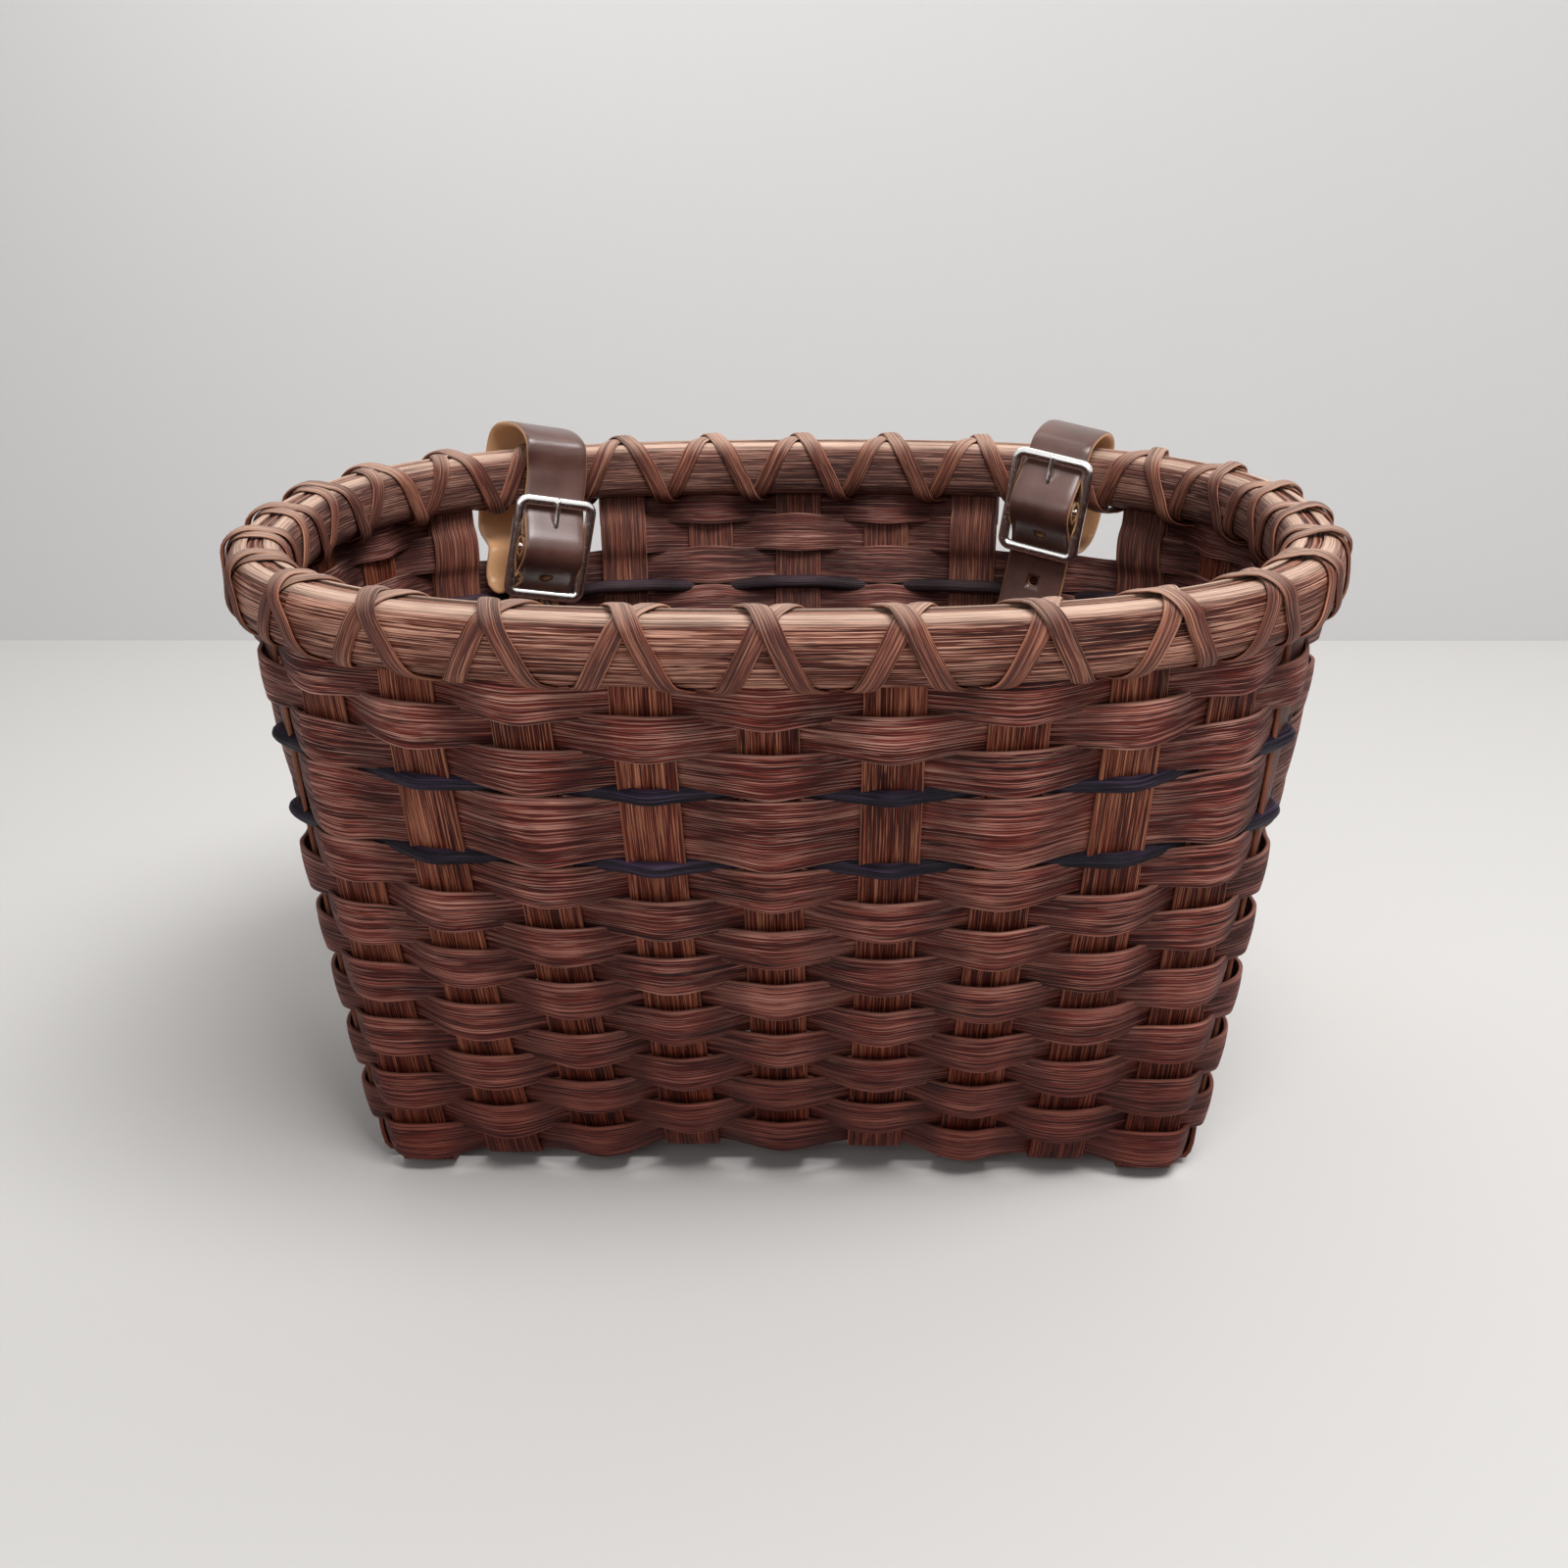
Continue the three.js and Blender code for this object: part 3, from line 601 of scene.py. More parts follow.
    # Painted shade: darker where two weaver rows cross
    crossing_shade = add_node(tree, "ShaderNodeAttribute", attribute_name="crossing_shade")
    crossing_shade_amount = add_node(
        tree, "ShaderNodeMath", {0: crossing_shade.outputs["Fac"], 1: 0.5}, operation="MULTIPLY")
    crossing_shaded = add_node(
        tree, "ShaderNodeMix", {0: crossing_shade_amount.outputs[0], 6: inner_lit.outputs[2], 7: colour(dark)}, data_type="RGBA")
    # Tops are painted towards the pale colour on the grain's ridges: wear and a painted highlight
    wear_and_highlight = add_node(tree, "ShaderNodeAttribute", attribute_name="wear_and_highlight")
    ridge = add_node(
        tree, "ShaderNodeMapRange",
        {"Value": grain.outputs[0], "From Min": 0.15, "From Max": 0.65, "To Min": 0.25, "To Max": 1.0})
    rubbed_and_lit = add_node(
        tree, "ShaderNodeMath", {0: wear_and_highlight.outputs["Fac"], 1: ridge.outputs[0]}, operation="MULTIPLY")
    bleach_and_highlight = add_node(
        tree, "ShaderNodeMix", {0: rubbed_and_lit.outputs[0], 6: crossing_shaded.outputs[2], 7: colour(BLEACHED_AND_HIGHLIGHT)},
        data_type="RGBA")
    rough = add_node(
        tree, "ShaderNodeMapRange",
        {"Value": grain.outputs[0], "From Min": 0.2, "From Max": 0.8,
         "To Min": REED_ROUGH - gloss, "To Max": REED_SMOOTH - gloss})
    relief = add_node(
        tree, "ShaderNodeMath", {0: pore.outputs[0], 1: -0.4, 2: grain.outputs[0]}, operation="MULTIPLY_ADD")
    bump = add_node(
        tree, "ShaderNodeBump", {"Height": relief.outputs[0], "Strength": 1.0, "Distance": 0.0002})
    shader = add_node(
        tree, "ShaderNodeBsdfPrincipled",
        {"Base Color": bleach_and_highlight.outputs[2], "Roughness": rough.outputs[0], "Normal": bump.outputs[0],
         "IOR": 1.45, "Specular IOR Level": 0.22})
    add_node(tree, "ShaderNodeOutputMaterial", {"Surface": shader.outputs[0]})
    return material


# Bridle leather: a smooth waxed grain side, tan raw edges and a suede flesh side; pattern sizes are in mm
CLOUD_SIZE = 16.667
PEBBLE_SIZE = 0.5263
NAP_SIZE = 0.7143
RAW_EDGE = "#B98A5E"


def bridle_leather(name, grain, paler, flesh):
    material, tree = new_material(name)
    strip = add_node(tree, "ShaderNodeUVMap", uv_map="strip")
    skin = add_node(tree, "ShaderNodeAttribute", attribute_name="skin")
    cloud = add_node(
        tree, "ShaderNodeTexNoise",
        {"Vector": strip.outputs["UV"], "Scale": 1000 / CLOUD_SIZE, "Detail": 5, "Roughness": 0.6})
    pebble = add_node(
        tree, "ShaderNodeTexVoronoi", {"Vector": strip.outputs["UV"], "Scale": 1000 / PEBBLE_SIZE})
    nap = add_node(
        tree, "ShaderNodeTexNoise",
        {"Vector": strip.outputs["UV"], "Scale": 1000 / NAP_SIZE, "Detail": 4, "Roughness": 0.7})
    face = add_node(
        tree, "ShaderNodeValToRGB", {"Fac": cloud.outputs["Fac"]},
        [(0.3, colour(grain)), (0.72, colour(paler))])
    raw = add_node(
        tree, "ShaderNodeMix",
        {0: nap.outputs["Fac"], 6: colour(flesh), 7: colour(RAW_EDGE)}, data_type="RGBA")
    side = add_node(
        tree, "ShaderNodeMapRange",
        {"Value": skin.outputs["Fac"], "From Min": 0.86, "From Max": 0.62, "To Min": 0.0, "To Max": 1.0})
    both = add_node(
        tree, "ShaderNodeMix", {0: side.outputs[0], 6: face.outputs[0], 7: raw.outputs[2]}, data_type="RGBA")
    rough = add_node(
        tree, "ShaderNodeMapRange",
        {"Value": side.outputs[0], "From Min": 0.0, "From Max": 1.0, "To Min": 0.34, "To Max": 0.9})
    relief = add_node(
        tree, "ShaderNodeMath", {0: pebble.outputs["Distance"], 1: nap.outputs["Fac"]}, operation="ADD")
    bump = add_node(
        tree, "ShaderNodeBump", {"Height": relief.outputs[0], "Strength": 0.12, "Distance": 0.0002})
    shader = add_node(
        tree, "ShaderNodeBsdfPrincipled",
        {"Base Color": both.outputs[2], "Roughness": rough.outputs[0], "Normal": bump.outputs[0], "IOR": 1.5,
         "Coat Weight": 0.4, "Coat Roughness": 0.25})
    add_node(tree, "ShaderNodeOutputMaterial", {"Surface": shader.outputs[0]})
    return material


# Polished nickel plate: bright, with faint swirl marks from buffing, sized in mm
SWIRL_SIZE = 1.1111


def nickel_plate(name, shade):
    material, tree = new_material(name)
    place = add_node(tree, "ShaderNodeTexCoord")
    swirl = add_node(
        tree, "ShaderNodeTexNoise",
        {"Vector": place.outputs["Object"], "Scale": 1000 / SWIRL_SIZE, "Detail": 4, "Distortion": 1.2})
    rough = add_node(
        tree, "ShaderNodeMapRange",
        {"Value": swirl.outputs["Fac"], "From Min": 0.35, "From Max": 0.7, "To Min": 0.16, "To Max": 0.28})
    bump = add_node(
        tree, "ShaderNodeBump", {"Height": swirl.outputs["Fac"], "Strength": 0.05, "Distance": 0.0001})
    shader = add_node(
        tree, "ShaderNodeBsdfPrincipled",
        {"Base Color": colour(shade), "Metallic": 1, "Roughness": rough.outputs[0],
         "Normal": bump.outputs[0]})
    add_node(tree, "ShaderNodeOutputMaterial", {"Surface": shader.outputs[0]})
    return material


stake_reed = reed("flat_reed_stakes_stained_walnut", "#180402", "#4B160D", "#7E3522", "#C28060", 0.5)
weaver_reed = reed("flat_reed_weavers_stained_mahogany", "#180403", "#571811", "#8E3B2E", "#D6A08E", 0.55)
wide_reed = reed("wide_flat_reed_stained_mahogany", "#180403", "#571811", "#8E3B2E", "#D6A08E", 0.6)
rim_reed = reed("half_round_rim_reed_stained", "#170402", "#491910", "#7E4534", "#E2AA92", 0.42, gloss=0.04)
lash_reed = reed("lashing_reed_stained", "#210602", "#561B0F", "#8A412B", "#D49474", 0.5, gloss=0.04)
accent_reed = reed("round_reed_dyed_navy", "#050208", "#0C0612", "#180E20", "#44344C", 0.8)
strap_leather = bridle_leather("bridle_leather_dark_brown", "#4E3029", "#6E4B42", "#E8B080")
nickel = nickel_plate("polished_nickel_plate", "#F2F0EB")


# Rows, from the top down: the kind of each, and its middle as a length up the wall
rows = []
level = FIRST_ROW_LIFT
kinds = ["narrow"] * NARROW_BELOW + ["accent", "wide", "accent"] + ["narrow"] * NARROW_ABOVE
heights = {"narrow": NARROW_HEIGHT, "accent": ACCENT_HEIGHT, "wide": WIDE_HEIGHT}
for kind in kinds:
    close = {NARROW_BELOW: ACCENT_COVER, NARROW_BELOW + 4: -ACCENT_COVER}.get(len(rows) + 1, 0)
    rows.append((kind, (level + heights[kind] / 2) * ROW_STRETCH + close))
    level += heights[kind] + ROW_GAP
rows.reverse()
sill_share = (rows[OPENING_ROWS][1] + NARROW_HEIGHT / 2) / wall_length
WALL_KEYS = 10
STAKE_STEPS = 5
stake_section = reed_section(STAKE_WIDTH, STAKE_THICKNESS, STAKE_EDGE)


def top_share(index):
    return 1 - (RIM_TOP - STAKE_TOP) / walls[index][1][-1]


def upright(index, last, flip, start=0.0):
    keys = []
    for k in range(WALL_KEYS + 1):
        share = max(last * k / WALL_KEYS, start)
        keys.append((wall_point(index, share), wall_frame(index, share)[1] * flip))
    return keys


def add_stake(name, keys):
    bm = new_mesh()
    points = spline([point for point, _ in keys], False, STAKE_STEPS)
    across = blend([side for _, side in keys], False, STAKE_STEPS)
    add_strip(bm, points, across, stake_section, tone=tone_of(name))
    add_piece("reed_" + name, bm, stake_reed, "basket", name)


for s in range(FRONT_STAKES):
    x = (s - FRONT_MIDDLE) * STAKE_PITCH
    back = 2 * FRONT_STAKES + SIDE_STAKES - 1 - s
    stub = abs(s - FRONT_MIDDLE) == STRAP_STAKES
    start = OVER_LIFT if s % 2 else 0.0
    keys = upright(s, top_share(s), 1, start)[::-1]
    for c in range(SIDE_STAKES):
        y = (c - (SIDE_STAKES - 1) / 2) * SIDE_PITCH
        rise = UNDER_PASS * (-1 if (s + c) % 2 == 0 else 1)
        for step in (-PASS_REACH, 0, PASS_REACH):
            crown = 1 if step == 0 else PASS_SHOULDER
            keys.append((Vector((x, y + step * SIDE_PITCH, base_height(x, y) + rise * crown)), ACROSS))
    keys += upright(back, sill_share + STUB_RISE / wall_length if stub else top_share(back), -1, start)
    add_stake(f"stake_front_back_{s + 1}", keys)

for c in range(SIDE_STAKES):
    y = (c - (SIDE_STAKES - 1) / 2) * SIDE_PITCH
    keys = upright(STAKES - 1 - c, top_share(STAKES - 1 - c), -1)[::-1]
    reach = half_x + STAKE_WIDTH / 2
    levels = [-reach] + [(s - FRONT_MIDDLE) * STAKE_PITCH for s in range(FRONT_STAKES)] + [reach]
    keys += [(Vector((x, y, base_height(x, y))), Vector((0, 1, 0))) for x in levels]
    keys += upright(FRONT_STAKES + c, top_share(FRONT_STAKES + c), 1)
    add_stake(f"stake_left_right_{c + 1}", keys)

# Weavers: outside one stake and inside the next, fullest over a stake and tucked in where two rows cross
WEAVER_STEPS = 5
sections = {
    "narrow": reed_section(NARROW_WIDTH, WEAVER_THICKNESS, WEAVER_EDGE),
    "wide": reed_section(WIDE_WIDTH, WEAVER_THICKNESS, WEAVER_EDGE, 13),
    "accent": round_section(ACCENT_WIDTH, ACCENT_WIDTH),
}
finishes = {"narrow": (weaver_reed, "weaver_reed"), "wide": (wide_reed, "wide_reed"),
            "accent": (accent_reed, "accent_reed")}
opening_edges = [
    BACK_MIDDLE + n for n in (-STRAP_STAKES - 1, -STRAP_STAKES + 1, STRAP_STAKES - 1, STRAP_STAKES + 1)]


def add_weaver(name, number, first, last, closed):
    kind, middle = rows[number - 1]
    hand = random.Random(name)
    share = middle / wall_length
    full = 1 if kind == "accent" else 1 + WIDTH_RISE * (share - WIDTH_LEVEL)
    keys = []
    ups = []
    for n in range(first, last + 1):
        index = n % STAKES
        point, along, up, out = wall_frame(index, share)
        point = point + up * hand.uniform(-WEAVER_DRIFT, WEAVER_DRIFT)
        side = 1 if (index + number) % 2 == 1 else -1
        lift = (STAKE_THICKNESS + (ACCENT_WIDTH if kind == "accent" else WEAVER_THICKNESS)) / 2
        if kind == "accent" and side < 0 and number == NARROW_ABOVE + 1 and index in opening_edges:
            lift += OVERLAY_LIFT
        crown = WEAVER_CROWN * hand.uniform(1 - CROWN_VARY, 1 + CROWN_VARY)
        if kind == "accent":
            lift -= ACCENT_SINK
            crown = crown / 2
        ends = -ACCENT_TUCK if kind == "accent" and side > 0 else WEAVER_END_LIFT
        for step, rise in ((-0.5, ends), (0, crown), (0.5, ends)):
            drop = ACCENT_DROP if kind == "accent" and side > 0 and step else 0
            keys.append(point + along * (step * STAKE_WIDTH) + out * (side * (lift + rise)) - up * drop)
            ups.append(up)
    points = spline(keys, closed, WEAVER_STEPS)
    across = blend(ups, closed, WEAVER_STEPS)
    swell = []
    crossing_shade = []
    for n in range(len(points)):
        turn = (n / WEAVER_STEPS) % 3
        gap = max(turn - 2, 0)
        away = STAKE_SHARE * abs(min(turn, 2) - 1) + (1 - 2 * STAKE_SHARE) * gap
        tuck = ease(2 * min(away, 1 - away))
        swell.append(full if kind == "accent" else full - WEAVER_TUCK * tuck)
        # Painted shade grows towards the place where the rows cross
        crossing_shade.append(max(tuck - CROSSING_SHADE_FROM, 0) / CROSSING_SHADE_FADE)
    bm = new_mesh()
    add_strip(bm, points, across, sections[kind], closed, tone_of(name), swell, crossing_shade=crossing_shade)
    finish, slot = finishes[kind]
    add_piece("reed_" + name, bm, finish, "basket", name)


for number in range(1, len(rows) + 1):
    name = f"weaver_row_{number}"
    if number > OPENING_ROWS:
        add_weaver(name, number, 0, STAKES - 1, True)
    else:
        add_weaver(name, number, opening_edges[3], opening_edges[0] + STAKES, False)
        add_weaver(name + "_back", number, opening_edges[1], opening_edges[2], False)

# Overlay stakes cover the cut row ends inside the back wall
for n, index in enumerate(opening_edges):
    covered = rows[OPENING_ROWS - 1][1]
    low = rows[NARROW_ABOVE][1] - ACCENT_WIDTH / 2
    step = NARROW_HEIGHT / 2
    stops = [
        (low, OVERLAY_LIFT),
        (covered - 2 * step, OVERLAY_LIFT + OVERLAY_EASE),
        (covered - step * OVERLAY_SHOULDER, OVERLAY_OVER_ROW),
        (covered + step * OVERLAY_SHOULDER, OVERLAY_OVER_ROW),
        (covered + 2 * step, OVERLAY_LIFT + OVERLAY_EASE),
        (top_share(index) * wall_length, OVERLAY_LIFT),
    ]
    keys = []
    for height, lift in stops:
        point, along, _, out = wall_frame(index, height / wall_length)
        keys.append((point - out * lift, -along))
    add_stake(f"overlay_stake_{n + 1}", keys)

# Rims and filler
RIM_STEPS = 280
rim_places = [STAKES * n / RIM_STEPS for n in range(RIM_STEPS)]
rim_line = [rim_frame(place) for place in rim_places]
ups = [UP] * RIM_STEPS


# The top edge is painted pale: rubbed by hands, and a painted highlight where the light falls on it
def rim_wear_and_highlight(_, height):
    share = height / bundle_tall
    return ease((share - RIM_WEAR_HIGHLIGHT_FROM) / RIM_WEAR_HIGHLIGHT_FADE) if share > RIM_WEAR_HIGHLIGHT_FROM else 0


def add_rim(name, points, section, finish):
    bm = new_mesh()
    add_strip(bm, points, ups, section, True, tone_of(name), wear_and_highlight=rim_wear_and_highlight)
    add_piece("reed_" + name, bm, finish, "basket", name)


# Through points inwards when the strip runs anticlockwise with its width upright
add_rim("rim_outer", [point + UP * bundle_level for point, _, _ in rim_line],
        half_round_section(0, OUTER_SEAT), rim_reed)
add_rim("rim_inner", [point + UP * bundle_level for point, _, _ in rim_line],
        half_round_section(180, -INNER_SEAT), rim_reed)
channel = (OUTER_SEAT - INNER_SEAT) / 2
add_rim("rim_filler", [point + out * channel + UP * (RIM_RISE - FILLER_SINK) for point, _, out in rim_line],
        round_section(FILLER_HEIGHT, FILLER_WIDTH, 12), rim_reed)

# Lashing: each turn crosses the other pass over a stake and meets it under the rim between two stakes
turn_angles = [-60 + 360 * k / LASH_STEPS for k in range(LASH_STEPS + 1)]
turn_run = lengths([Vector((*bundle(angle, 0), 0)) for angle in turn_angles])
turn_stops = [
    (-60, OUTER_BOTTOM), (60, OUTER_TOP), (120, INNER_TOP), (240, INNER_BOTTOM), (300, OUTER_BOTTOM - 1)]


# Place of a turn along the rim: straight legs on the unrolled rim
def turn_share(k):
    for (low, start), (high, end) in zip(turn_stops, turn_stops[1:]):
        if turn_angles[k] <= high:
            break
    low_run = turn_run[turn_angles.index(low)]
    high_run = turn_run[turn_angles.index(high)]
    return start + (end - start) * (turn_run[k] - low_run) / (high_run - low_run)


# One over a crossing, falling to nothing beside it
def over_crossing(gap):
    return 1 - ease(max(abs(gap) - CROSSING_FLAT, 0) / CROSSING_SLOPE)


# The lashings stand wider apart in the middle of the front, as in the photograph
def lash_place(place):
    offset = (place - FRONT_MIDDLE + STAKES / 2) % STAKES - STAKES / 2
    if abs(offset) > SPREAD_END:
        return place
    fade = 1 - ease(max(abs(offset) - SPREAD_FULL, 0) / (SPREAD_END - SPREAD_FULL))
    return place + FRONT_SPREAD * offset * fade


lash_section = flat_section(LASH_WIDTH, LASH_THICKNESS, LASH_EDGE, 9, 6)


def add_lashing(name, layer, hand):
    points = []
    across = []
    tie = random.Random(name)
    drift = [tie.uniform(-LASH_DRIFT, LASH_DRIFT) for _ in range(STAKES)]
    shares = [turn_share(k) for k in range(LASH_STEPS)]
    crossings = [min(range(LASH_STEPS), key=lambda k: abs(shares[k] - share)) for share in (0.0, -0.5)]
    for n in range(STAKES):
        for k in range(LASH_STEPS):
            lift = LASH_THICKNESS / 2
            if layer:
                lift += LASH_THICKNESS * max(over_crossing(turn_run[k] - turn_run[c]) for c in crossings)
            stray = drift[n] + (drift[(n + 1) % STAKES] - drift[n]) * k / LASH_STEPS
            point, along, out = rim_frame(lash_place(hand * (shares[k] - n) + stray))
            reach, height = bundle(turn_angles[k], lift)
            points.append(point + out * reach + UP * (height + bundle_level))
            across.append(along)
    bm = new_mesh()
    # The tops of the turns are painted pale: wear and a painted highlight
    top_wear_and_highlight = [max(math.sin(math.radians(angle)) - LASH_WEAR_HIGHLIGHT_FROM, 0) / LASH_WEAR_HIGHLIGHT_FADE for angle in turn_angles]
    add_strip(bm, points, across, lash_section, True, tone_of(name),
              wear_and_highlight=lambda n, a: top_wear_and_highlight[n % LASH_STEPS] / 2)
    add_piece("reed_" + name, bm, lash_reed, "basket", name)


add_lashing("lashing_first_pass", 0, -1)
add_lashing("lashing_second_pass", 1, 1)

# Straps, in a frame on the centre bar: x across, y out, z up
sill_point = wall_point(opening_edges[0], sill_share)
sill = sill_point.z - RIM_TOP
sill_reach = (sill_point - rim_point(opening_edges[0])).dot(rim_frame(opening_edges[0])[2])
# Each strap: name, stake, drop of the bar below the rim, sag inside, shift, lean in degrees, tail's swing
straps = [
    ("right", BACK_MIDDLE - STRAP_STAKES, 13, 0, 0, 9, 19),
    ("left", BACK_MIDDLE + STRAP_STAKES, 27, 11, -7, 12, 18),
]


# Middle line of a strap: flap, fold round the bar, loop out and over the rim, and tail
def strap_line(drop, sag, shift, swing):
    keys = []

    def bar(y, z):
        keys.append(Vector((0, y, z)))

    def rim(y, z, x=shift):
        keys.append(Vector((x, y - BAR_OUT, z + drop)))

    low = sill + SILL_ROOM
    flap_top = FOLD_RADIUS + PAIR_SLOPE * RIVET_TOP
    flap_end = FOLD_RADIUS + PAIR_SLOPE * (RIVET_TOP + RIVET_ROOM)
    bar(flap_end, -RIVET_TOP - RIVET_ROOM)
    bar(flap_top, -RIVET_TOP)
    for n in range(FOLD_STEPS):
        angle = math.radians(FOLD_ANGLE * n)
        bar(math.cos(angle) * FOLD_RADIUS, math.sin(angle) * FOLD_RADIUS)
    bar(flap_top - PAIR_REACH, -RIVET_TOP)
    bar(flap_end - PAIR_REACH, -RIVET_TOP - RIVET_ROOM)
    if sag:
        for side in (-1, 0, 1):
            rise = BIGHT_RADIUS * (1 - math.cos(side))
            rim(sill_reach + side * BIGHT_RADIUS - BIGHT_REACH, low - sag + rise, shift * (side + 2) / 3)
        rim(sill_reach - BIGHT_REACH / 2, low - BIGHT_RADIUS / 2)
    rim(sill_reach, low)
    rim(OUTSIDE_FACE, low + BIGHT_RADIUS)
    rim(LOOP_OUT, OPENING_TOP)
    rim(LOOP_OUT, -RIM_HEIGHT / 2)
    rim(OUTSIDE_FACE + STRAP_THICKNESS, LOOP_HIGH / 2)
    rim(0, LOOP_HIGH, shift / 2)
    rim(INSIDE_FACE - STRAP_THICKNESS / 2, LOOP_HIGH - BIGHT_RADIUS, shift / 4)
    if drop > WINDOW_REACH:
        rim(LOOP_IN, -LASH_STACK, 0)
    bar(BILLET_UNDER, WINDOW_END)
    bar(-BILLET_OVER, BILLET_CREST)
    bar(-BILLET_OVER, -BILLET_CREST)
    bar(BILLET_UNDER, -WINDOW_END)
    bar(BILLET_UNDER - swing / 4, -WINDOW_REACH - TAIL_LENGTH / 2)
    bar(BILLET_UNDER - swing, -WINDOW_REACH - TAIL_LENGTH)
    return keys


# Cuts a set of solids out of a piece and leaves a plain mesh
def cut(piece, tools):
    mesh = bpy.data.meshes.new(piece.name + "_tools")
    tools.to_mesh(mesh)
    tools.free()
    cutter = bpy.data.objects.new(piece.name + "_tools", mesh)
    bpy.context.scene.collection.objects.link(cutter)
    boolean = piece.modifiers.new("holes", "BOOLEAN")
    boolean.object = cutter
    boolean.solver = "EXACT"
    boolean.use_self = True
    depsgraph = bpy.context.evaluated_depsgraph_get()
    done = bpy.data.meshes.new_from_object(piece.evaluated_get(depsgraph))
    piece.modifiers.remove(boolean)
    piece.data = done
    bpy.data.objects.remove(cutter)


STRAP_STEPS = 6
strap_section = flat_section(STRAP_WIDTH, STRAP_THICKNESS, STRAP_THICKNESS, 13, 14)


def add_strap(name, index, drop, sag, shift, lean, swing):
    point, _, out = rim_frame(index)
    facing = Matrix.Rotation(math.atan2(-out.x, out.y), 4, "Z")
    place = Matrix.Translation((point + out * BAR_OUT - UP * drop) * MM)
    place = place @ facing @ Matrix.Rotation(math.radians(lean), 4, "Y")
    keys = strap_line(drop, sag, shift, swing)
    points = spline(keys, False, STRAP_STEPS)
    run = lengths(points)
    total = run[-1]
    swell = []
    for length in run:
        back = max(1 - (total - length) / TIP_LENGTH, 0)
        swell.append(math.sqrt(1 - back * back * TIP_TAPER))
    bm = new_mesh()
    add_strip(bm, points, [ACROSS] * len(points), strap_section, swell=swell)
    bmesh.ops.transform(bm, matrix=place, verts=bm.verts)
    strap = add_piece(
        f"leather_strap_{name}", bm, strap_leather, f"strap_{name}_body", f"strap_{name}")
    tools = bmesh.new()
    holes = []
    for n in range(TAIL_HOLES):
        length = total - HOLE_FROM_TIP - n * HOLE_PITCH
        middle = point_at(points, run, length)
        along = point_at(points, run, length + 1) - point_at(points, run, length - 1)
        normal = ACROSS.cross(along).normalized()
        turn = normal.to_track_quat("Z", "Y").to_matrix().to_4x4()
        bmesh.ops.create_cone(
            tools, cap_ends=True, segments=ROUND_SIDES, radius1=HOLE_DIAMETER / 2 * MM,
            radius2=HOLE_DIAMETER / 2 * MM, depth=3 * STRAP_THICKNESS * MM,
            matrix=place @ Matrix.Translation(middle * MM) @ turn)
        holes.append((place @ (middle * MM), place.to_3x3() @ normal))
    cut(strap, tools)
    # The cut leaves new points round each hole unmarked, so their side of the leather is set here
    skins = strap.data.attributes["skin"].data
    for vert in strap.data.vertices:
        for middle, normal in holes:
            gap = vert.co - middle
            if gap.length < HOLE_RIM * HOLE_DIAMETER * MM:
                skins[vert.index].value = 0 if gap.dot(normal) > 0 else 1
    add_buckle(name, place)
    add_rivet(name, place)


# Buckle: rounded wire frame with a round centre bar, and a prong turned round the bar
CORNER_STEPS = 6


def add_buckle(name, place):
    body = f"buckle_{name}_body"
    right = BUCKLE_WINDOW / 2 + BUCKLE_WIRE / 2
    high = BUCKLE_HEIGHT / 2 - BUCKLE_WIRE / 2
    radius = BUCKLE_CORNER - BUCKLE_WIRE / 2
    points = []
    for n, (x, z) in enumerate(((1, 1), (-1, 1), (-1, -1), (1, -1))):
        for k in range(CORNER_STEPS + 1):
            angle = math.pi / 2 * (n + k / CORNER_STEPS)
            middle = Vector((x * (right - radius), 0, z * (high - radius)))
            points.append(middle + Vector((math.cos(angle), 0, math.sin(angle))) * radius)
    bm = new_mesh()
    wire = flat_section(BUCKLE_THICKNESS, BUCKLE_WIRE, BUCKLE_WIRE, 7, 3)
    add_strip(bm, points, [Vector((0, 1, 0))] * len(points), wire, True)
    bar = [Vector((x, 0, 0)) for x in (-right, 0, right)]
    add_strip(bm, bar, [UP] * 3, round_section(BAR_DIAMETER, BAR_DIAMETER, 14))
    bmesh.ops.transform(bm, matrix=place, verts=bm.verts)
    add_piece(f"nickel_buckle_{name}", bm, nickel, body, f"buckle_frame_{name}")
    prong = new_mesh()
    keys = []
    eye = BAR_DIAMETER / 2 + EYE_ROOM
    for n in range(EYE_STEPS):
        angle = math.radians(EYE_ANGLE * n + EYE_START)
        keys.append(Vector((0, math.cos(angle) * eye, math.sin(angle) * eye)))
    keys.append(Vector((0, PRONG_LEVEL - PRONG_BOW, BUCKLE_HEIGHT * PRONG_SHARES[0])))
    keys.append(Vector((0, PRONG_LEVEL, BUCKLE_HEIGHT * PRONG_SHARES[1])))
    keys.append(Vector((0, PRONG_LEVEL, BUCKLE_HEIGHT / 2)))
    points = spline(keys, False, PRONG_STEPS)
    swell = [1.0] * (len(points) - len(PRONG_TAPER)) + PRONG_TAPER
    pin = round_section(PRONG_WIDTH, PRONG_THICKNESS, 12)
    add_strip(prong, points, [ACROSS] * len(points), pin, swell=swell)
    bmesh.ops.transform(prong, matrix=place, verts=prong.verts)
    add_piece(f"nickel_prong_{name}", prong, nickel, f"prong_{name}_body", f"buckle_prong_{name}")


# Rivet: a domed head on each side of the fold
RIVET_WELD = 1e-6


